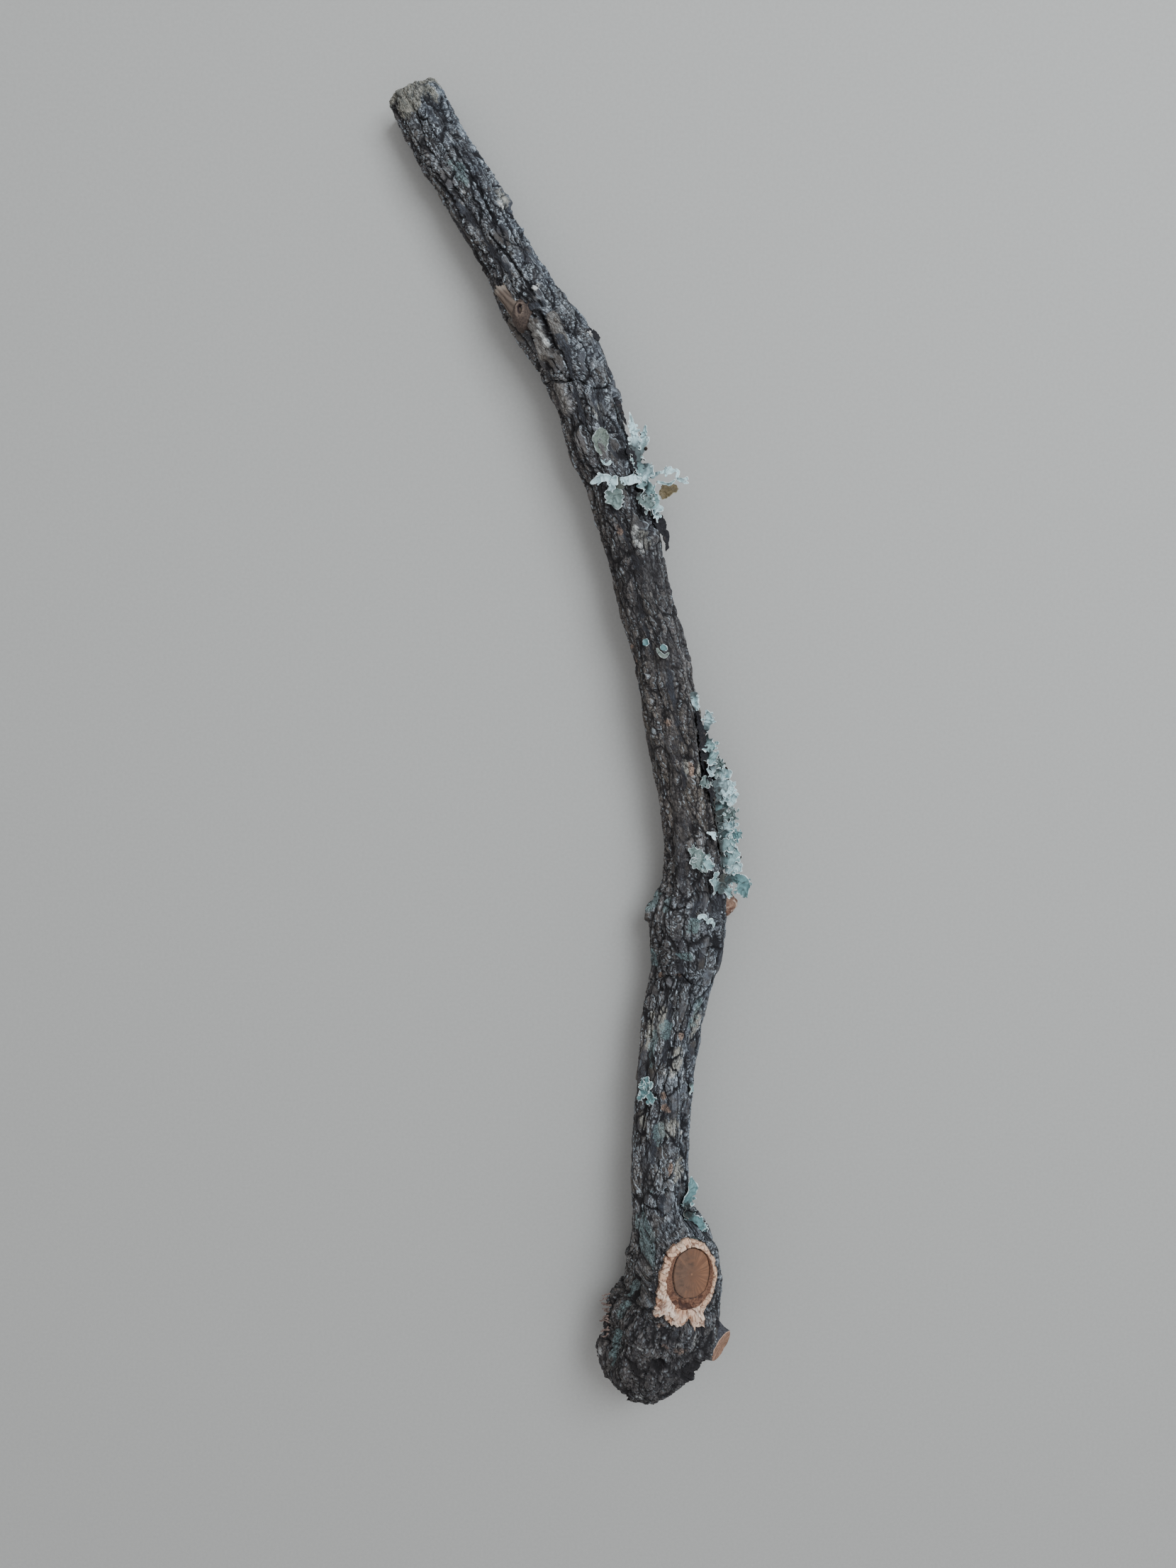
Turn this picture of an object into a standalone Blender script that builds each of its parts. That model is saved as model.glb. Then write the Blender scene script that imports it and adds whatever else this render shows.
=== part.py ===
"""Lichen on a twig: a thumb-thick cut branch end that lies on a table, with leafy lichens on its front and side.

Metres, +Z up. The twig lies along Y, its top end towards +Y. The side that the reference view shows faces +Z.
"""

import math

import bmesh
import bpy
from mathutils import Vector, noise

for old in list(bpy.data.objects):
    bpy.data.objects.remove(old, do_unlink=True)

# Every length below is in millimetres, unless its name says otherwise.
MM = 0.001

# The reference view, through which places on the object are given as the pixels where they are seen.
VIEW_FOCAL_PX = 1660.0
VIEW_CENTRE_PX = (829.5, 1106.0)
VIEW_TILT = math.radians(7.0)
VIEW_HEIGHT = 454.0
ORIGIN = (-3.4, -53.5)

# The twig's middle line: where it is seen, and how thick the twig is there.
STATIONS = [
    (583, 133, 18.5), (620, 205, 18.8), (661, 268, 18.7), (695, 330, 18.1), (727, 385, 18.8), (748, 425, 20.6),
    (797, 493, 22.3), (826, 554, 21.6), (841, 618, 20.7), (861, 662, 21.0), (884, 735, 20.3), (900, 800, 19.4),
    (913, 860, 18.9), (930, 915, 19.5), (941, 975, 19.4), (952, 1032, 19.7), (958, 1068, 19.5), (968, 1131, 19.8),
    (974, 1182, 20.2), (977, 1221, 21.6), (979, 1254, 25.0), (974, 1275, 27.4), (971, 1295, 28.4), (970, 1335, 27.4),
    (966, 1360, 25.6), (959, 1390, 23.5), (951, 1430, 22.5), (945, 1470, 21.7), (939, 1510, 21.0), (936, 1550, 21.0),
    (933, 1590, 21.7), (931, 1630, 21.4), (930, 1670, 21.8), (930, 1700, 21.6), (933, 1719, 24.4), (939, 1738, 27.5),
    (946, 1757, 31.5), (950, 1777, 32.6), (952, 1796, 34.0), (949, 1815, 36.4), (946, 1834, 40.6), (938, 1853, 43.8),
    (931, 1872, 43.0), (923, 1891, 41.4), (915, 1911, 38.8), (912, 1930, 34.0), (913, 1951, 25.0), (915, 1966, 12.0),
]
# How high the middle line lies above the table: it rests at the foot, at the knee and at the top end.
HEIGHTS = [
    (133, 9.0), (205, 9.6), (330, 11.5), (493, 14.2), (618, 15.0), (860, 15.2), (1068, 14.0), (1221, 13.2),
    (1275, 12.7), (1315, 12.7), (1390, 14.2), (1510, 15.4), (1670, 16.0), (1757, 17.4), (1834, 18.3), (1891, 18.0), (1930, 17.4),
    (1968, 16.6),
]
# The foot is a little flatter than it is wide.
FLATNESS = [(133, 1.0), (1690, 1.0), (1722, 1.14), (1742, 1.18), (1777, 1.06), (1834, 0.92), (1968, 0.88)]

SIDES = 26
ROW_STEP = 9.0
FOOT_ROW_STEP = 5.4
RIDGE = 0.6
RIDGES_AROUND = 8
LUMP = 0.45
FOOT_LUMP = 1.3
LICHEN_GAP = 0.35
LOBE_THICKNESS = 1.15


def between(table, key, column=1):
    """The value at this key of a table that is sorted by its first column."""
    for before, after in zip(table, table[1:]):
        if key <= after[0]:
            share = max(0.0, (key - before[0]) / (after[0] - before[0]))
            return before[column] + (after[column] - before[column]) * share
    return table[-1][column]


def seen_at(px, py, z):
    """The point at this height above the table that is seen at this pixel of the reference view."""
    rise = (VIEW_CENTRE_PX[1] - py) / VIEW_FOCAL_PX
    side = (px - VIEW_CENTRE_PX[0]) / VIEW_FOCAL_PX
    depth = (VIEW_HEIGHT - z) / (math.cos(VIEW_TILT) + rise * math.sin(VIEW_TILT))
    along = depth * (rise * math.cos(VIEW_TILT) - math.sin(VIEW_TILT))
    return Vector((side * depth - ORIGIN[0], along - ORIGIN[1], z))


def smooth(points, at):
    """A Catmull-Rom curve through the points, whose parameter is the index of a point."""
    index = min(max(int(at), 0), len(points) - 2)
    t = at - index
    one, two = points[index], points[index + 1]
    zero = points[index - 1] if index > 0 else one + (one - two)
    three = points[index + 2] if index + 2 < len(points) else two + (two - one)
    return 0.5 * (
        2 * one
        + (two - zero) * t
        + (2 * zero - 5 * one + 4 * two - three) * t * t
        + (3 * one - zero - 3 * two + three) * t * t * t
    )


# The middle line as dense samples: its point, the twig's radius and its flatness, every millimetre or so.
KNOTS = []
for px, py, thickness in STATIONS:
    point = seen_at(px, py, between(HEIGHTS, py))
    KNOTS.append(Vector((*point, thickness / 2)))
SAMPLES = []
for step in range((len(KNOTS) - 1) * 12 + 1):
    at = step / 12
    knot = smooth(KNOTS, at)
    row = STATIONS[min(int(at), len(STATIONS) - 2)][1]
    row += (STATIONS[min(int(at) + 1, len(STATIONS) - 1)][1] - row) * (at - int(at))
    SAMPLES.append((knot.xyz, knot[3], between(FLATNESS, row)))
LENGTHS = [0.0]
for before, after in zip(SAMPLES, SAMPLES[1:]):
    LENGTHS.append(LENGTHS[-1] + (after[0] - before[0]).length)
LENGTH = LENGTHS[-1]


def middle(s):
    """The middle line's point, radius, flatness, direction, side and up vectors at s from the top end."""
    low = 0
    high = len(LENGTHS) - 2
    while low < high:
        half = (low + high + 1) // 2
        if LENGTHS[half] <= s:
            low = half
        else:
            high = half - 1
    share = (s - LENGTHS[low]) / (LENGTHS[low + 1] - LENGTHS[low])
    one, two = SAMPLES[low], SAMPLES[low + 1]
    point = one[0].lerp(two[0], share)
    radius = one[1] + (two[1] - one[1]) * share
    flat = one[2] + (two[2] - one[2]) * share
    back = SAMPLES[max(low - 5, 0)][0]
    ahead = SAMPLES[min(low + 6, len(SAMPLES) - 1)][0]
    along = (ahead - back).normalized()
    side = Vector((0, 0, 1)).cross(along).normalized()
    return point, radius, flat, along, side, along.cross(side).normalized()


def nearest(point):
    """How far from the top end the middle line passes closest to this point, seen from above."""
    best = min(range(len(SAMPLES)), key=lambda i: (SAMPLES[i][0].xy - point.xy).length_squared)
    return LENGTHS[best]


def relief(s, angle):
    """How far the bark stands out of the plain round form: long wandering ridges and soft lumps."""
    ridges = math.sin(RIDGES_AROUND * angle + 1.9 * math.sin(s / 41) + s / 70)
    cross = math.sin(5 * angle - s / 29 + 1.0)
    place = Vector((1.5 * math.cos(angle), 1.5 * math.sin(angle), s / 17))
    lump = noise.noise(place)
    foot = min(max((s - 412) / 30, 0.0), 1.0)
    fade = min(max((LENGTH - s) / 16, 0.15), 1.0)
    return (RIDGE * ridges + 0.5 * RIDGE * cross + (LUMP + FOOT_LUMP * foot) * 1.6 * lump) * fade


def on_twig(s, angle, lift):
    point, radius, flat, along, side, up = middle(s)
    out = radius + relief(s, angle) + lift
    return point + side * (out * math.sin(angle)) + up * (out * flat * math.cos(angle))


def new_mesh(points, faces, name):
    """One object, in metres, with its faces turned outward."""
    mesh = bpy.data.meshes.new(name)
    mesh.from_pydata([point * MM for point in points], [], faces)
    work = bmesh.new()
    work.from_mesh(mesh)
    bmesh.ops.recalc_face_normals(work, faces=work.faces)
    if work.calc_volume(signed=True) < 0:
        bmesh.ops.reverse_faces(work, faces=work.faces)
    work.to_mesh(mesh)
    work.free()
    made = bpy.data.objects.new(name, mesh)
    bpy.context.scene.collection.objects.link(made)
    return made


def skin(rows, name):
    """A closed form from rings of points, the first and the last row being one point each."""
    points = [rows[0][0]]
    count = len(rows[1])
    faces = []
    for row in rows[1:-1]:
        points.extend(row)
    last = len(points)
    points.append(rows[-1][0])
    for i in range(count):
        j = (i + 1) % count
        faces.append((0, 1 + i, 1 + j))
        faces.append((last, last - count + j, last - count + i))
        for ring in range(len(rows) - 3):
            a = 1 + ring * count
            faces.append((a + i, a + j, a + count + j))
            faces.append((a + i, a + count + j, a + count + i))
    return new_mesh(points, faces, name)


def twig_tube(name, lift, on_table):
    """The branch without its stubs. With a lift it is the room that the lichens keep clear of."""
    places = [0.0]
    while places[-1] < LENGTH - 4:
        places.append(places[-1] + (FOOT_ROW_STEP if places[-1] > 400 else ROW_STEP))
    places[-1] = LENGTH
    angles = [2 * math.pi * i / SIDES for i in range(SIDES)]
    rows = []
    top, top_radius, top_flat, along, side, up = middle(0)
    # The top end is broken off a little aslant, with its right side lower and a shallow dish in it.
    ragged = [0.7 * math.sin(3 * a + 1) + 3.2 * max(0.0, math.sin(a - 0.4)) ** 2 for a in angles]
    rows.append([top + along * (1.0 - lift)])
    rim = []
    for angle, rag in zip(angles, ragged):
        rim.append(on_twig(0, angle, lift) * 0.84 + top * 0.16 + along * (rag - 0.9 - lift))
    rows.append(rim)
    rows.append([on_twig(0, a, lift) + along * (rag * 0.8 + 0.8) for a, rag in zip(angles, ragged)])
    for s in places[1:]:
        rows.append([on_twig(s, angle, lift) for angle in angles])
    end, end_radius, end_flat, along, side, up = middle(LENGTH)
    rows.append([on_twig(LENGTH, angle, lift) * 0.5 + end * 0.5 + along * (2.2 + lift) for angle in angles])
    rows.append([end + along * (3.2 + lift)])
    if on_table:
        for row in rows:
            for point in row:
                point.z = max(point.z, 0.0)
    return skin(rows, name)


def boss(name, centre, out, rings, count, lift=0.0, wobble=0.0, seed=0.0):
    """A turned form on an axis. A ring is (half width, half length, height, shift across, shift along)."""
    out = Vector(out).normalized()
    lengthwise = Vector((0, 1, 0)) - out * out.y
    lengthwise.normalize()
    across = lengthwise.cross(out)
    rows = [[centre + out * (rings[0][2] - lift)]]
    for place, (width, length, height, shift_x, shift_y) in enumerate(rings):
        height += lift if place else -lift
        row = []
        for i in range(count):
            angle = 2 * math.pi * i / count
            uneven = 1 + wobble * noise.noise(Vector((math.cos(angle) * 2, math.sin(angle) * 2, seed)))
            x = shift_x + (width * uneven + lift) * math.cos(angle)
            y = shift_y + (length * uneven + lift) * math.sin(angle)
            row.append(centre + across * x + lengthwise * y + out * height)
        rows.append(row)
    rows.append([centre + across * rings[-1][3] + lengthwise * rings[-1][4] + out * (rings[-1][2] + lift)])
    return skin(rows, name)


def hug(px, py, lift, rise=0.0):
    """The point seen at this pixel that stands this far off the plain bark. Past its edge it is level with it."""
    z = 24.0
    for _ in range(8):
        point = seen_at(px, py, z)
        line, radius, flat = middle(nearest(point))[:3]
        off = (point.xy - line.xy).length
        reach = radius + lift
        z = line.z + flat * math.sqrt(max(reach * reach - off * off, 0.0))
    return seen_at(px, py, z + rise)


def plate(name, route, widths, face=None, cup=0.12, sink=0.0, along_steps=4, across_steps=2):
    """A thin curved lobe along a route of (pixel, pixel, lift) places. Face is where its upper side looks."""
    line = [hug(*place) for place in route]
    spread = [Vector((width, 0, 0)) for width in widths]
    top = []
    bottom = []
    for i in range(along_steps + 1):
        at = i / along_steps * (len(line) - 1)
        here = smooth(line, at)
        ahead = (smooth(line, min(at + 0.05, len(line) - 1)) - smooth(line, max(at - 0.05, 0))).normalized()
        if face is None:
            look = here - middle(nearest(here))[0]
        else:
            look = Vector(face)
        across = ahead.cross(look).normalized()
        look = across.cross(ahead).normalized()
        half = smooth(spread, at).x / 2
        for j in range(across_steps + 1):
            v = 2 * j / across_steps - 1
            middle_of_top = here + across * (half * v) + look * (cup * half * v * v)
            top.append(middle_of_top + look * (LOBE_THICKNESS / 2))
            bottom.append(middle_of_top - look * (LOBE_THICKNESS / 2 + sink))
    wide = across_steps + 1
    count = len(top)
    faces = []
    for i in range(along_steps):
        for j in range(across_steps):
            a = i * wide + j
            faces.append((a, a + 1, a + wide + 1, a + wide))
            faces.append((count + a, count + a + wide, count + a + wide + 1, count + a + 1))
    edge = [j for j in range(wide)]
    edge += [i * wide + across_steps for i in range(1, along_steps + 1)]
    edge += [along_steps * wide + j for j in range(across_steps - 1, -1, -1)]
    edge += [i * wide for i in range(along_steps - 1, 0, -1)]
    for a, b in zip(edge, edge[1:] + edge[:1]):
        faces.append((a, count + a, count + b, b))
    return new_mesh(top + bottom, faces, name)


def join(pieces, name):
    """Copies the pieces' meshes into one object and removes the pieces."""
    work = bmesh.new()
    for piece in pieces:
        work.from_mesh(piece.data)
        bpy.data.objects.remove(piece, do_unlink=True)
    mesh = bpy.data.meshes.new(name)
    work.to_mesh(mesh)
    work.free()
    made = bpy.data.objects.new(name, mesh)
    bpy.context.scene.collection.objects.link(made)
    return made


def bodies(work):
    """The separate closed bodies of a mesh, each as a list of its faces."""
    left = set(work.faces)
    found = []
    while left:
        seed = left.pop()
        group = [seed]
        queue = [seed]
        while queue:
            for edge in queue.pop().edges:
                for other in edge.link_faces:
                    if other in left:
                        left.remove(other)
                        group.append(other)
                        queue.append(other)
        found.append(group)
    return found


def cut_and_keep(made, operation, tool):
    """Runs one exact Boolean on the object, keeps its largest body and makes the result its own mesh."""
    step = made.modifiers.new("Join", "BOOLEAN")
    step.solver = "EXACT"
    step.operation = operation
    step.object = tool
    step.use_self = True
    graph = bpy.context.evaluated_depsgraph_get()
    mesh = bpy.data.meshes.new_from_object(made.evaluated_get(graph))
    made.modifiers.remove(step)
    work = bmesh.new()
    work.from_mesh(mesh)
    bmesh.ops.remove_doubles(work, verts=work.verts, dist=0.000005)
    bmesh.ops.dissolve_degenerate(work, edges=work.edges, dist=0.000005)
    groups = sorted(bodies(work), key=len, reverse=True)
    for group in groups[1:]:
        corners = {corner for face in group for corner in face.verts}
        print(made.name, "drops", len(group), "faces near", sum((c.co for c in corners), Vector()) / len(corners) / MM)
        bmesh.ops.delete(work, geom=list(corners), context="VERTS")
    bmesh.ops.triangulate(work, faces=work.faces)
    work.to_mesh(mesh)
    work.free()
    made.data = mesh
    print(made.name, len(mesh.polygons), "triangles,", len(groups) - 1, "loose bodies dropped")


def material(name, colour, roughness):
    made = bpy.data.materials.new(name)
    made.use_nodes = True
    shader = made.node_tree.nodes["Principled BSDF"]
    shader.inputs["Base Color"].default_value = (*colour, 1)
    shader.inputs["Roughness"].default_value = roughness
    return made


# The twig, and what grew with it.
SCAR = seen_at(976, 1798, 36.8)
SCAR_OUT = (0.27, -0.03, 0.96)
SCAR_RINGS = [
    (9.0, 12.0, -17.0, -1.0, -5.0),
    (15.0, 21.2, -9.0, -1.8, -4.2),
    (13.4, 19.2, -1.4, -2.0, -3.9),
    (12.2, 17.4, 0.7, -1.8, -3.6),
    (10.2, 14.4, 0.2, -0.7, -2.2),
    (8.7, 12.2, -0.9, -0.3, -1.2),
    (7.4, 10.3, -0.3, 0.0, 0.0),
    (3.0, 4.4, -0.2, 0.0, 0.0),
]
STUB = seen_at(1018, 1898, 24.0)
STUB_OUT = (0.80, -0.35, 0.47)
STUB_RINGS = [
    (6.6, 6.8, -19.0, 0.0, 0.0),
    (6.6, 6.6, -7.0, 0.0, 0.0),
    (6.1, 6.2, -1.0, 0.0, 0.0),
    (5.4, 5.5, 0.0, 0.0, 0.0),
]
BUD = seen_at(1032, 1282, 14.5)
BUD_OUT = (0.80, -0.58, 0.15)
BUD_RINGS = [
    (3.6, 3.8, -9.0, 0.0, 0.0),
    (4.4, 4.6, -4.0, 0.0, 0.0),
    (3.7, 4.0, 0.2, 0.0, 0.0),
    (2.4, 2.6, 0.5, 0.0, 0.0),
    (1.2, 1.3, -0.5, 0.0, 0.0),
]
SPUR_TIP = seen_at(707, 410, 17.4)
SPUR_OUT = (-0.74, 0.62, 0.10)
SPUR_RINGS = [
    (4.4, 4.6, -17.0, 0.0, 0.0),
    (3.5, 3.8, -9.0, 0.0, 0.0),
    (2.5, 2.8, -3.5, 0.0, 0.0),
    (2.4, 2.5, 0.0, 0.0, 0.0),
    (1.5, 1.6, 0.4, 0.0, 0.0),
]
HOLLOW = hug(734, 437, 0.4)
HOLLOW_OUT = (-0.42, 0.02, 0.9)
HOLLOW_RINGS = [
    (4.4, 5.4, -4.0, 0.0, 0.0),
    (3.6, 4.4, 0.4, 0.0, 0.0),
    (2.4, 3.0, 1.1, 0.0, 0.0),
    (1.3, 1.6, -0.4, 0.0, 0.0),
]


# A flake of loose bark on the right edge.
FLAKE = [(920, 727, -1.2), (930, 742, 0.9), (936, 759, 1.7), (940, 777, 1.5)]


def stubs(lift):
    """The stubs, the scar and the bud, as they are or grown by a lift."""
    return [
        boss("scar", SCAR, SCAR_OUT, SCAR_RINGS, 22, lift, 0.10, 3.0),
        boss("stub", STUB, STUB_OUT, STUB_RINGS, 12, lift, 0.06, 5.0),
        boss("bud", BUD, BUD_OUT, BUD_RINGS, 10, lift, 0.12, 7.0),
        boss("spur", SPUR_TIP, SPUR_OUT, SPUR_RINGS, 8, lift, 0.12, 9.0),
        boss("hollow", HOLLOW, HOLLOW_OUT, HOLLOW_RINGS, 10, lift, 0.08, 11.0),
        plate("flake", FLAKE, [3.0 + lift, 4.0 + lift, 3.4 + lift, 1.6 + lift], (0.75, 0, 0.65), sink=lift),
    ]


wood = material("twig_bark", (0.16, 0.15, 0.15), 0.9)
leafy = material("lichen_thallus", (0.50, 0.58, 0.55), 0.85)

twig = twig_tube("twig", 0.0, True)
twig.data.materials.append(wood)
grown = join(stubs(0.0), "stubs_and_scar")
cut_and_keep(twig, "UNION", grown)
bpy.data.objects.remove(grown, do_unlink=True)

clear = join([twig_tube("clear_tube", LICHEN_GAP, False)] + stubs(LICHEN_GAP), "clear_of_the_bark")
clear.hide_render = True
clear.display_type = "WIRE"

VIEWER = (0, 0, 1)
EDGE = (0.75, 0, 0.65)

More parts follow.
